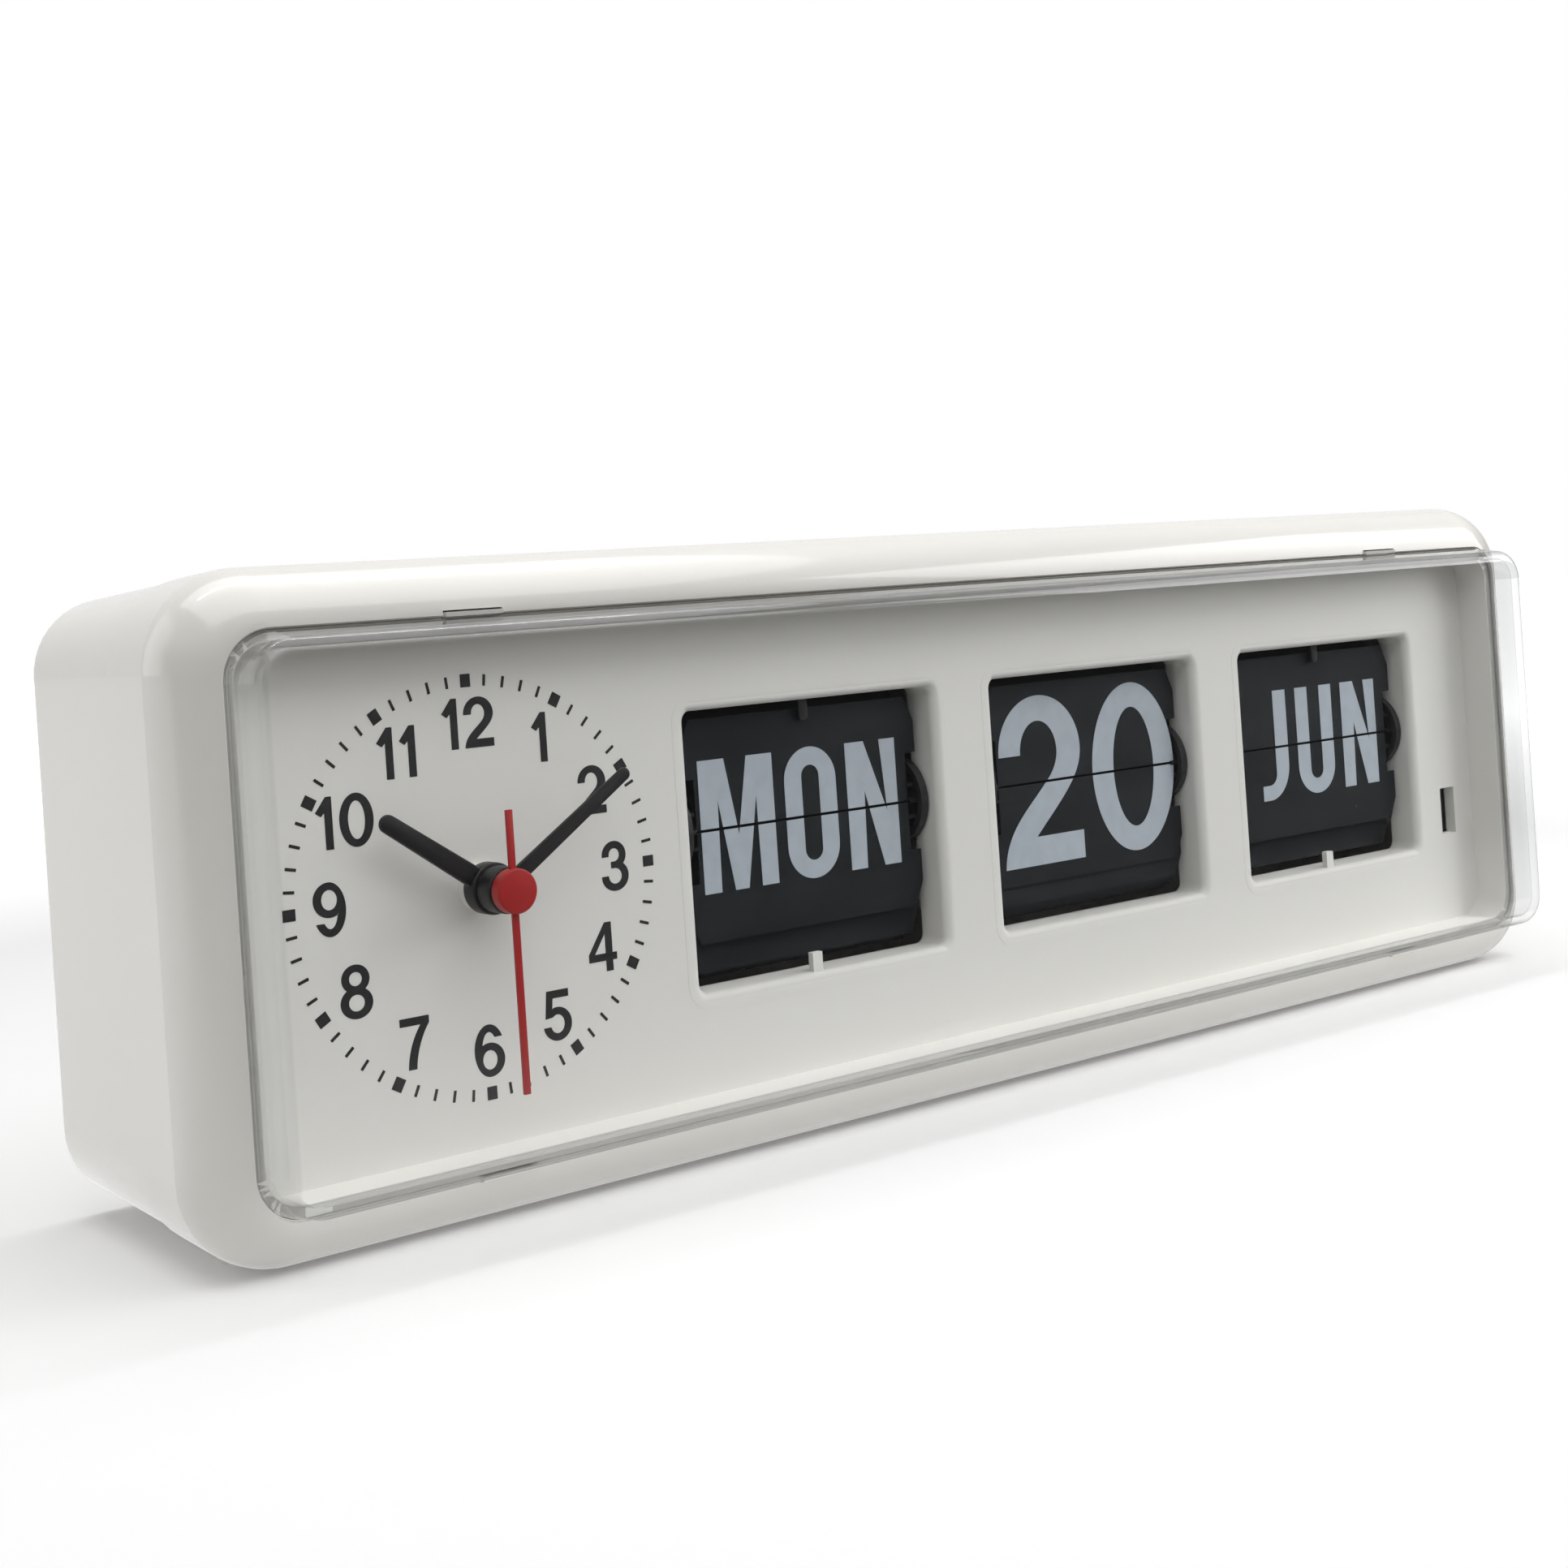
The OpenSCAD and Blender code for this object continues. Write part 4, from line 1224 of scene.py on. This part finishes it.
@dataclass(frozen=True)
class Word:
    """A printed word or number, laid out from its left foot.

    Left foot and base line are in millimetres from the print's own origin, which is the middle of the hinge
    line on a leaf and the middle of the number on the dial.
    """

    text: str
    alphabet: Alphabet
    left: float
    base: float
    gap: float
    size: float = 1.0
    print_t: float = 0.05

    def solid(self, name: str) -> Piece:
        """Make the word as thin raised print, standing on the plane of the hinge and facing forwards.

        Args:
            name: Name of the piece.

        Returns:
            A closed mesh in metres, its back on y = 0, at its own origin.
        """
        sketch = bpy.data.curves.new(name, "CURVE")
        sketch.dimensions = "2D"
        sketch.fill_mode = "BOTH"
        sketch.extrude = self.print_t / 2 * MM
        pen = self.left
        for letter in self.text:
            glyph = self.alphabet.glyph(letter)
            for outline in glyph.outlines:
                spline = sketch.splines.new("POLY")
                spline.points.add(len(outline) - 1)
                spline.use_cyclic_u = True
                for point, (across, up) in zip(spline.points, outline):
                    point.co = ((pen + self.size * across) * MM, (self.base + self.size * up) * MM, 0, 1)
            pen += self.size * glyph.width + self.gap
        obj = bpy.data.objects.new(name, sketch)
        bpy.context.scene.collection.objects.link(obj)
        only(obj)
        bpy.ops.object.convert(target="MESH")
        obj = bpy.context.object
        obj.rotation_euler = (math.pi / 2, 0, 0)
        obj.location = (0, -self.print_t / 2 * MM, 0)
        settle(obj)
        clean(obj)
        return obj


def keep_half(obj: Piece, half: Half, split: float) -> None:
    """Cut a word along the hinge line and keep one half.

    Args:
        obj: The word, with the hinge line at the origin.
        half: The half that stays.
        split: Bare strip left beside the hinge line.
    """
    with editing(obj):
        bpy.ops.mesh.bisect(plane_co=(0, 0, half.value * split), plane_no=(0, 0, 1), use_fill=True,
                            clear_inner=half is Half.UPPER, clear_outer=half is Half.LOWER)
    clean(obj)


# Leaves, dial, hands and case


@dataclass
class FlapUnit:
    """One split flap unit: the prints of its leaves, the lining of its window and its catch."""

    unit: Unit
    shown: Word
    coming: Word
    leaves: int
    catch: bool
    split: float = 0.3 * MM
    card_offset: float = 0.1 * MM
    card_t: float = 0.5 * MM
    peg_circle: float = 8.0 * MM
    fan_clear: float = 20.0
    catch_w: float = 2.4 * MM
    catch_h: float = 4.6 * MM
    catch_t: float = 0.7 * MM
    catch_ahead: float = 0.9 * MM
    catch_corner: float = 0.9 * MM
    catch_edge: float = 0.15 * MM
    window_top: float = 25.25 * MM
    face_drop: float = 3.5 * MM
    face_ahead: float = 5.1 * MM
    lining_half: Point = (33.8 * MM, 28.7 * MM)
    lining_wall: float = 0.5 * MM
    lining_back: float = 8.6 * MM
    lining_round: float = 3.4 * MM
    lining_corner: float = 2.2 * MM
    lining_proud: float = 0.04 * MM
    lining_margin: float = 0.1 * MM
    level_gap: float = 0.01 * MM
    corner_steps: int = 8
    rim_steps: int = 10
    catch_steps: int = 5
    flange_t: float = 2.6 * MM

    def hinge(self) -> Vector:
        """Middle of the hinge line of the leaf that falls."""
        return Vector(JOINTS[f"{self.unit.value}_leaf_fall"]["pos_m"])

    def window(self) -> Vector:
        """Middle of the window, on the dial's face."""
        return self.hinge() + Vector((0, -self.face_ahead, -self.face_drop))

    def printed(self, word: Word, half: Half, label: str, seat: Matrix, body: str, ink: Material) -> None:
        """Print one half of a word on a leaf.

        Args:
            word: The word.
            half: The half that the leaf carries.
            label: What the piece's name ends with.
            seat: Place of the hinge line and turn of the leaf.
            body: The body that carries the leaf.
            ink: The ink's material.
        """
        obj = word.solid(f"{self.unit.value}_{label}")
        keep_half(obj, half, self.split)
        obj.matrix_world = seat
        settle(obj)
        place_piece(obj, ink, body)

    def build(self, finishes: Finishes) -> None:
        """Print the leaves, add the lining and the catch, and dress the nodes.

        Args:
            finishes: The clock's materials.
        """
        leaf = f"{self.unit.value}_leaf"
        hinge = Matrix.Translation(self.hinge())
        face = hinge @ Matrix.Translation((0, self.card_offset, 0))
        fallen = Matrix.Translation((0, -self.card_offset - self.card_t, 0))
        back = hinge @ Matrix.Rotation(math.pi, 4, "X") @ fallen
        prints = (
            (self.shown, Half.UPPER, "print_upper", face, leaf),
            (self.shown, Half.LOWER, "print_lower", face, "clock"),
            (self.coming, Half.LOWER, "print_back", back, leaf),
            (self.coming, Half.UPPER, "print_next", self.next_seat(), "clock"),
        )
        for word, half, label, seat, body in prints:
            self.printed(word, half, label, seat, body, finishes.leaf_ink)
        self.build_lining(finishes)
        if self.catch:
            self.build_catch(finishes)
        self.dress(finishes)

    def next_seat(self) -> Matrix:
        """Place and turn of the leaf that waits behind the one that falls.

        Returns:
            The seat of its hinge line.
        """
        step = 360 / self.leaves
        angle = math.radians(math.ceil(self.fan_clear / step) * step)
        back = self.peg_circle * (1 - math.cos(angle))
        rise = self.peg_circle * math.sin(angle)
        peg = Matrix.Translation(self.hinge() + Vector((0, back, rise)))
        return peg @ Matrix.Rotation(-angle / 2, 4, "X") @ Matrix.Translation((0, self.card_offset, 0))

    def build_lining(self, finishes: Finishes) -> None:
        """Add the white lining that rounds the window's edge and runs back to the leaves.

        Args:
            finishes: The clock's materials.
        """
        front, margin = -self.lining_proud, self.lining_margin
        face = self.window()
        across, up = [half + margin for half in self.lining_half]

        def layer(name: str, grow: float, *ends: float) -> Piece:
            """Add a block that is larger than the lining's inner face."""
            return round_block(name, self.lining_half, self.lining_corner, grow, ends, face,
                               self.corner_steps)

        obj = layer(f"{self.unit.value}_window_lining", self.lining_round + margin, front, self.flange_t)
        combine(obj, layer("sleeve", self.lining_wall, self.flange_t / 2, self.lining_back), Joining.ADD)
        combine(obj, layer("hole", 0.0, front - MM, self.lining_back + MM), Joining.CUT)

        def on_front_rim(*ends: Vector) -> bool:
            """Whether an edge runs along the front of the hole."""
            level = all(abs(end.y - face.y - front) < self.level_gap for end in ends)
            return level and all(abs(end.x - face.x) < across and abs(end.z - face.z) < up for end in ends)

        bevel_where(obj, on_front_rim, self.lining_round, self.rim_steps)
        clean(obj)
        place_piece(obj, finishes.panel, "clock")

    def build_catch(self, finishes: Finishes) -> None:
        """Add the springy catch that holds the top edge of the leaf.

        Args:
            finishes: The clock's materials.
        """
        middle = self.hinge() + Vector((0, -self.catch_ahead, self.window_top - self.catch_h / 2))
        obj = block(f"{self.unit.value}_catch", (self.catch_w, self.catch_t, self.catch_h), middle)
        bevel_where(obj, lambda a, b: max(a.z, b.z) < middle.z and abs(a.x - b.x) < HAIR,
                    self.catch_corner, self.catch_steps)
        sharp_edges_bevelled(obj, self.catch_edge)
        place_piece(obj, finishes.frame, "clock")

    def dress(self, finishes: Finishes) -> None:
        """Give the unit's nodes their finishes.

        Args:
            finishes: The clock's materials.
        """
        parts = {"leaf_upper": finishes.leaf, "leaf_lower": finishes.leaf, "leaf_pack": finishes.leaf,
                 "frame": finishes.panel, "spool": finishes.frame, "axle": finishes.steel,
                 "motor": finishes.steel, "pinion": finishes.brass, "button": finishes.case}
        dress_nodes({f"{self.unit.value}_{part}": finish for part, finish in parts.items()})


def dress_nodes(dressed: dict[str, Material]) -> None:
    """Give nodes of the frame their materials, by the nodes' names.

    Args:
        dressed: Material of each node.
    """
    for name, finish in dressed.items():
        materials = frame["nodes"][name].data.materials
        materials.clear()
        materials.append(finish)
        LOG.info("node %s in %s", name, finish.name)


@dataclass
class Dial:
    """Printed dial: minute strokes, hour squares and twelve upright numerals."""

    marks_r: float = 39.0 * MM
    stroke_l: float = 2.2 * MM
    stroke_w: float = 0.58 * MM
    square_l: float = 2.5 * MM
    square_w: float = 2.15 * MM
    numeral_r: float = 31.0 * MM
    numeral_h: float = 9.6
    numeral_gap: float = 1.35
    print_t: float = 0.05 * MM

    def build(self, finishes: Finishes) -> None:
        """Print the marks and the numerals, and dress the nodes.

        Args:
            finishes: The clock's materials.
        """
        self.build_marks(finishes)
        self.build_numerals(finishes)
        self.dress(finishes)

    def build_marks(self, finishes: Finishes) -> None:
        """Print the strokes and squares round the dial.

        Args:
            finishes: The clock's materials.
        """
        front = DIAL_CENTRE + Vector((0, -self.print_t / 2, 0))
        top = front + Vector((0, 0, self.marks_r))
        minute, hour = math.radians(6), math.radians(30)
        more_strokes, more_hours = 3, 11
        strokes = block("minute_strokes", (self.stroke_w, self.print_t, self.stroke_l), top)
        turned_about_dial(strokes, minute)
        copies_round(strokes, front, more_strokes, minute)
        copies_round(strokes, front, more_hours, hour)
        place_piece(strokes, finishes.dial_ink, "clock")
        squares = block("hour_squares", (self.square_w, self.print_t, self.square_l), top)
        copies_round(squares, front, more_hours, hour)
        place_piece(squares, finishes.dial_ink, "clock")

    def build_numerals(self, finishes: Finishes) -> None:
        """Print the twelve numerals, upright on their ring.

        Args:
            finishes: The clock's materials.
        """
        digits = TallDigits()
        size = self.numeral_h / digits.height
        made = []
        for hour in range(1, 13):
            turn = math.radians(30 * hour)
            text = str(hour)
            widths = [size * digits.glyph(digit).width for digit in text]
            width = sum(widths) + self.numeral_gap * (len(text) - 1)
            word = Word(text, digits, -width / 2, -self.numeral_h / 2, self.numeral_gap, size)
            numeral = word.solid(f"numeral_{text}")
            numeral.location = DIAL_CENTRE + self.numeral_r * Vector((math.sin(turn), 0, math.cos(turn)))
            made.append(settle(numeral))
        place_piece(joined(made, "dial_numerals"), finishes.dial_ink, "clock")

    def dress(self, finishes: Finishes) -> None:
        """Give the panel and the collar their finishes."""
        dress_nodes({"dial_panel": finishes.panel, "hub_collar": finishes.panel})


@dataclass(frozen=True)
class HandShape:
    """Sizes of one hand in millimetres. Depths are counted forwards from the dial's face."""

    node: str
    angle: float
    length: float
    tail: float
    root_w: float
    tip_w: float
    blade: tuple[float, float]
    boss: tuple[float, float]
    boss_r: float
    arbor_r: float
    arbor_end: float
    bore_r: float
    edge: float
    round_tip: bool


@dataclass
class Hands:
    """Hour, minute and second hands with rounded edges, each with its tube or arbor."""

    rest_hour: float = 10 + 9.5 / 60
    rest_minute: float = 9.5
    rest_second: float = 30.0
    tip_share: float = 0.49
    tip_steps: int = 8
    boss_edge: float = 0.35 * MM
    boss_steps: int = 3
    overlap: float = 0.5
    bore_past: float = 1.0

    def shapes(self) -> list[HandShape]:
        """Sizes of the three hands, from the dial upwards.

        Returns:
            The hour, minute and second hands.
        """
        return [
            HandShape("hour_hand", 30 * self.rest_hour, 27.0, 0.0, 4.2, 3.4, (4.2, 5.4), (2.5, 6.2), 4.9,
                      2.3, -6.0, 1.6, 0.3, True),
            HandShape("minute_hand", 6 * self.rest_minute, 35.4, 0.0, 3.2, 2.5, (8.2, 9.2), (6.5, 11.1), 4.4,
                      1.55, -8.0, 0.75, 0.25, True),
            HandShape("second_hand", 6 * self.rest_second, 37.6, 15.0, 1.4, 1.4, (12.2, 12.9), (11.4, 14.2),
                      4.2, 0.7, -10.0, 0.0, 0.12, False),
        ]

    def build(self, finishes: Finishes) -> None:
        """Model the hands over their nodes.

        Args:
            finishes: The clock's materials.
        """
        for shape in self.shapes():
            red = shape.node == "second_hand"
            finish = finishes.second if red else finishes.hands
            self.hand(shape, finish)

    def hand(self, shape: HandShape, finish: Material) -> None:
        """Model one hand.

        Args:
            shape: Its sizes.
            finish: Its material.
        """
        reach = shape.length + shape.tail
        depth = (shape.blade[0] + shape.blade[1]) / 2
        middle = DIAL_CENTRE + MM * Vector((0, -depth, (shape.length - shape.tail) / 2))
        size = (shape.root_w * MM, (shape.blade[1] - shape.blade[0]) * MM, reach * MM)
        obj = block(f"{shape.node}_shaped", size, middle)
        self.taper(obj, middle.z, shape.tip_w / shape.root_w)
        if shape.round_tip:
            bevel_where(obj, lambda a, b: min(a.z, b.z) > middle.z and abs(a.y - b.y) > HAIR,
                        shape.tip_w * self.tip_share * MM, self.tip_steps)
        sharp_edges_bevelled(obj, shape.edge * MM)
        turned_about_dial(obj, math.radians(shape.angle))

        def about_hub(name: str, radius: float, front: float, back: float) -> Piece:
            """Add a cylinder about the hub, with its ends counted forwards from the dial's face."""
            return drum(name, radius * MM, -front * MM, -back * MM, DIAL_CENTRE)

        boss = about_hub("boss", shape.boss_r, shape.boss[1], shape.boss[0])
        sharp_edges_bevelled(boss, self.boss_edge, self.boss_steps)
        combine(obj, boss, Joining.ADD)
        arbor = about_hub("arbor", shape.arbor_r, shape.boss[0] + self.overlap, shape.arbor_end)
        combine(obj, arbor, Joining.ADD)
        if shape.bore_r:
            front, back = shape.boss[1] + self.bore_past, shape.arbor_end - self.bore_past
            combine(obj, about_hub("bore", shape.bore_r, front, back), Joining.CUT)
        clean(obj)
        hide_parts(shape.node)
        place_piece(obj, finish, shape.node)

    def taper(self, obj: Piece, above: float, share: float) -> None:
        """Narrow the tip end of a blade to a share of its root.

        Args:
            obj: The blade, before it is turned.
            above: Height past which it narrows.
            share: Share of the width that is left.
        """
        with editing(obj):
            pick(obj, Part.VERTEX, lambda end: end.z > above)
            bpy.ops.transform.resize(value=(share, 1, 1), center_override=DIAL_CENTRE)


@dataclass
class Case:
    """Shells, lens, feet and what shows at the back."""

    ridge_count: int = 6
    ridge_pitch: float = 2.0 * MM
    ridge_w: float = 0.9 * MM
    ridge_h: float = 0.2 * MM
    ridge_l: float = 16.0 * MM
    ridge_end: float = 6.0 * MM
    ridge_edge: float = 0.15 * MM
    ridge_steps: int = 3
    lens_half: Point = (184.6 * MM, 51.2 * MM)
    lens_corner: float = 9.0 * MM
    corner_steps: int = 12
    ring_inner: float = 0.03 * MM
    ring_outer: float = 0.27 * MM
    ring_back: float = 0.1 * MM
    ring_front: float = 0.75 * MM
    tab_x: float = 135.0 * MM
    tab_room: Place = (12.8 * MM, 4.0 * MM, 110.4 * MM)

    def build_ring(self, finishes: Finishes) -> None:
        """Add the thin light ring that fills the gap round the lens, open at the four tabs.

        Args:
            finishes: The clock's materials.
        """
        base = Vector((0, LENS_BASE_Y, LENS_MIDDLE_Z))

        def layer(name: str, grow: float, *ends: float) -> Piece:
            """Add a block that is larger than the lens's base."""
            return round_block(name, self.lens_half, self.lens_corner, grow, ends, base, self.corner_steps)

        obj = layer("lens_gap_ring", self.ring_outer, -self.ring_front, -self.ring_back)
        hole = layer("hole", self.ring_inner, -self.ring_front - MM, MM - self.ring_back)
        combine(obj, hole, Joining.CUT)
        for side in (-1, 1):
            room = block("room", self.tab_room, (side * self.tab_x, LENS_BASE_Y, LENS_MIDDLE_Z))
            combine(obj, room, Joining.CUT)
        clean(obj)
        place_piece(obj, finishes.case, "clock")

    def build_ridges(self, finishes: Finishes) -> None:
        """Add the grip ridges of the battery door.

        Args:
            finishes: The clock's materials.
        """
        low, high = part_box("battery_door")
        middle_y, middle_z = high[1] + self.ridge_h / 2, (low[2] + high[2]) / 2
        ridges = []
        for step in range(self.ridge_count):
            spot = (high[0] - self.ridge_end - step * self.ridge_pitch, middle_y, middle_z)
            ridge = block(f"door_ridge_{step}", (self.ridge_w, self.ridge_h, self.ridge_l), spot)
            bevel_where(ridge, lambda a, b: min(a.y, b.y) > middle_y, self.ridge_edge, self.ridge_steps)
            ridges.append(ridge)
        place_piece(joined(ridges, "door_grip_ridges"), finishes.case, "battery_door")

    def build(self, finishes: Finishes) -> None:
        """Add the ring and the ridges, and dress the nodes.

        Args:
            finishes: The clock's materials.
        """
        self.build_ring(finishes)
        self.build_ridges(finishes)
        self.dress(finishes)

    def dress(self, finishes: Finishes) -> None:
        """Give the case's nodes their finishes.

        Args:
            finishes: The clock's materials.
        """
        dress_nodes({
            "front_case": finishes.case, "rear_cover": finishes.case, "battery_door": finishes.case,
            "time_knob": finishes.case, "lens": finishes.lens, "rear_feet": finishes.rubber,
            "movement": finishes.frame, "control_board": finishes.board, "dry_cell": finishes.cell,
            "battery_contacts": finishes.steel, "unit_screws": finishes.steel,
            "case_screws": finishes.steel})


# Light and camera


@dataclass(frozen=True)
class Softbox:
    """An area lamp that points at the clock, square unless it has a depth of its own."""

    name: str
    place: Place
    side: float
    power: float
    aim: Place = (0.0, 0.0, 0.05)
    depth: float = 0.0

    def build(self) -> None:
        """Add the lamp."""
        lamp = bpy.data.lights.new(self.name, "AREA")
        lamp.shape = "RECTANGLE"
        lamp.size = self.side
        lamp.size_y = self.depth or self.side
        lamp.energy = self.power
        obj = bpy.data.objects.new(self.name, lamp)
        obj.location = self.place
        obj.rotation_euler = (Vector(self.aim) - Vector(self.place)).to_track_quat("-Z", "Y").to_euler()
        bpy.context.scene.collection.objects.link(obj)


@dataclass
class Studio:
    """White floor, soft light and the camera at the photograph's place."""

    floor_side: float = 12.0
    floor_colour: Colour = (0.86, 0.86, 0.86, 1.0)
    floor_roughness: float = 0.7
    sky: float = 0.12
    front_gloss: float = 0.04
    sky_rise: Point = (0.0, 0.5)
    sky_gloss: float = 0.85
    floor_rise: Point = (-0.22, 0.06)
    floor_lift: float = 0.13
    floor_near: float = 0.45
    floor_far: float = 1.1
    sensor_mm: float = 36.0
    lens_mm: float = 51.803
    shift_y: float = -0.12124
    near_clip: float = 0.01
    eye: Place = (-0.348401, -0.394266, 0.113138)
    right: Place = (0.781528, -0.620288, -0.066758)
    down: Place = (-0.052807, 0.04085, -0.997769)
    ahead: Place = (0.621631, 0.78331, -0.00083)
    lamps: tuple[Softbox, ...] = (
        Softbox("overhead", (0.0, -0.18, 1.15), 1.6, 13.6),
        Softbox("strip", (0.0, 0.1, 0.9), 0.9, 1.3, depth=0.03),
        Softbox("right_front", (0.6, -0.35, 0.35), 0.4, 1.4),
        Softbox("left_side", (-0.95, 0.55, 0.5), 0.8, 1.7),
    )

    def build(self) -> None:
        """Set up the floor, the lamps, the world and the camera."""
        self.build_floor()
        for lamp in self.lamps:
            lamp.build()
        self.build_world()
        self.build_camera()
        bpy.context.scene.view_settings.view_transform = "Standard"

    def build_floor(self) -> None:
        """Add the white floor, which lifts towards white where it is seen or mirrored."""
        nothing_selected()
        bpy.ops.mesh.primitive_plane_add(size=self.floor_side, location=(0, 0, CAD_BOX[0][2]))
        floor = bpy.context.object
        floor.name = "floor"
        made, graph = new_finish("floor_white")
        paint = graph.surface({"Base Color": self.floor_colour, "Roughness": self.floor_roughness})
        reach = graph.node("ShaderNodeVectorMath", {"operation": "LENGTH"}, {0: graph.place()}, "Value")
        away = graph.band(reach, self.floor_near, self.floor_far)
        lift = graph.light("ShaderNodeEmission", self.floor_lift + away * (1 - self.floor_lift))
        lifted = graph.node("ShaderNodeAddShader", {}, {0: paint, 1: lift})
        behind = graph.band(graph.along(graph.place(), (0, 1, 0)), *self.floor_rise)
        mirrored = graph.light("ShaderNodeEmission", self.front_gloss + behind * (1 - self.front_gloss))
        unseen = graph.mixed(graph.ray("Is Glossy Ray"), paint, mirrored)
        graph.output(graph.mixed(graph.seen(), unseen, lifted))
        floor.data.materials.append(made)

    def build_world(self) -> None:
        """Light the clock softly from all round, with white where the sky is seen or mirrored."""
        world = bpy.data.worlds.new("studio")
        bpy.context.scene.world = world
        world.use_nodes = True
        graph = Graph(world.node_tree)
        way = graph.node("ShaderNodeTexCoord", {}, {}, "Generated")
        rise = graph.maths("MAXIMUM", graph.along(way, (0, 1, 0)), graph.along(way, (0, 0, 1)))
        mirrored = self.front_gloss + graph.band(rise, *self.sky_rise) * (self.sky_gloss - self.front_gloss)
        strength = self.sky + graph.ray("Is Glossy Ray") * (mirrored - self.sky)
        glow = graph.light("ShaderNodeBackground", strength)
        white = graph.light("ShaderNodeBackground", 1.0)
        graph.node("ShaderNodeOutputWorld", {}, {"Surface": graph.mixed(graph.seen(), glow, white)})

    def build_camera(self) -> None:
        """Add the camera."""
        data = bpy.data.cameras.new("camera")
        data.lens = self.lens_mm
        data.sensor_width = self.sensor_mm
        data.sensor_fit = "HORIZONTAL"
        data.shift_y = self.shift_y
        data.clip_start = self.near_clip
        obj = bpy.data.objects.new("camera", data)
        axes = (Vector(self.right), -Vector(self.down), -Vector(self.ahead))
        turn = Matrix(axes).transposed().to_4x4()
        obj.matrix_world = Matrix.Translation(self.eye) @ turn
        bpy.context.scene.collection.objects.link(obj)
        bpy.context.scene.camera = obj


def flap_units() -> list[FlapUnit]:
    """The three units with the words that they show and the words that come next.

    Returns:
        The units from left to right.
    """
    letters = NarrowCapitals()
    digits = TallDigits()
    base, low = -13.1, -19.2
    return [
        FlapUnit(Unit.DAY, Word("MON", letters, -27.95, base, 3.0), Word("TUE", letters, -24.0, base, 3.2),
                 leaves=14, catch=True),
        FlapUnit(Unit.DATE, Word("20", digits, -28.3, low, 3.8), Word("21", digits, -24.0, low, 5.0),
                 leaves=31, catch=False),
        FlapUnit(Unit.MONTH, Word("JUN", letters, -22.1, base, 3.9), Word("JUL", letters, -22.1, base, 3.9),
                 leaves=12, catch=True),
    ]


def main() -> None:
    """Build the clock's looks in order."""
    logging.basicConfig(level=logging.INFO, format="%(message)s")
    finishes = make_finishes()
    Studio().build()
    for section in (Case(), Dial(), Hands(), *flap_units()):
        section.build(finishes)


if __name__ == "__main__":
    main()
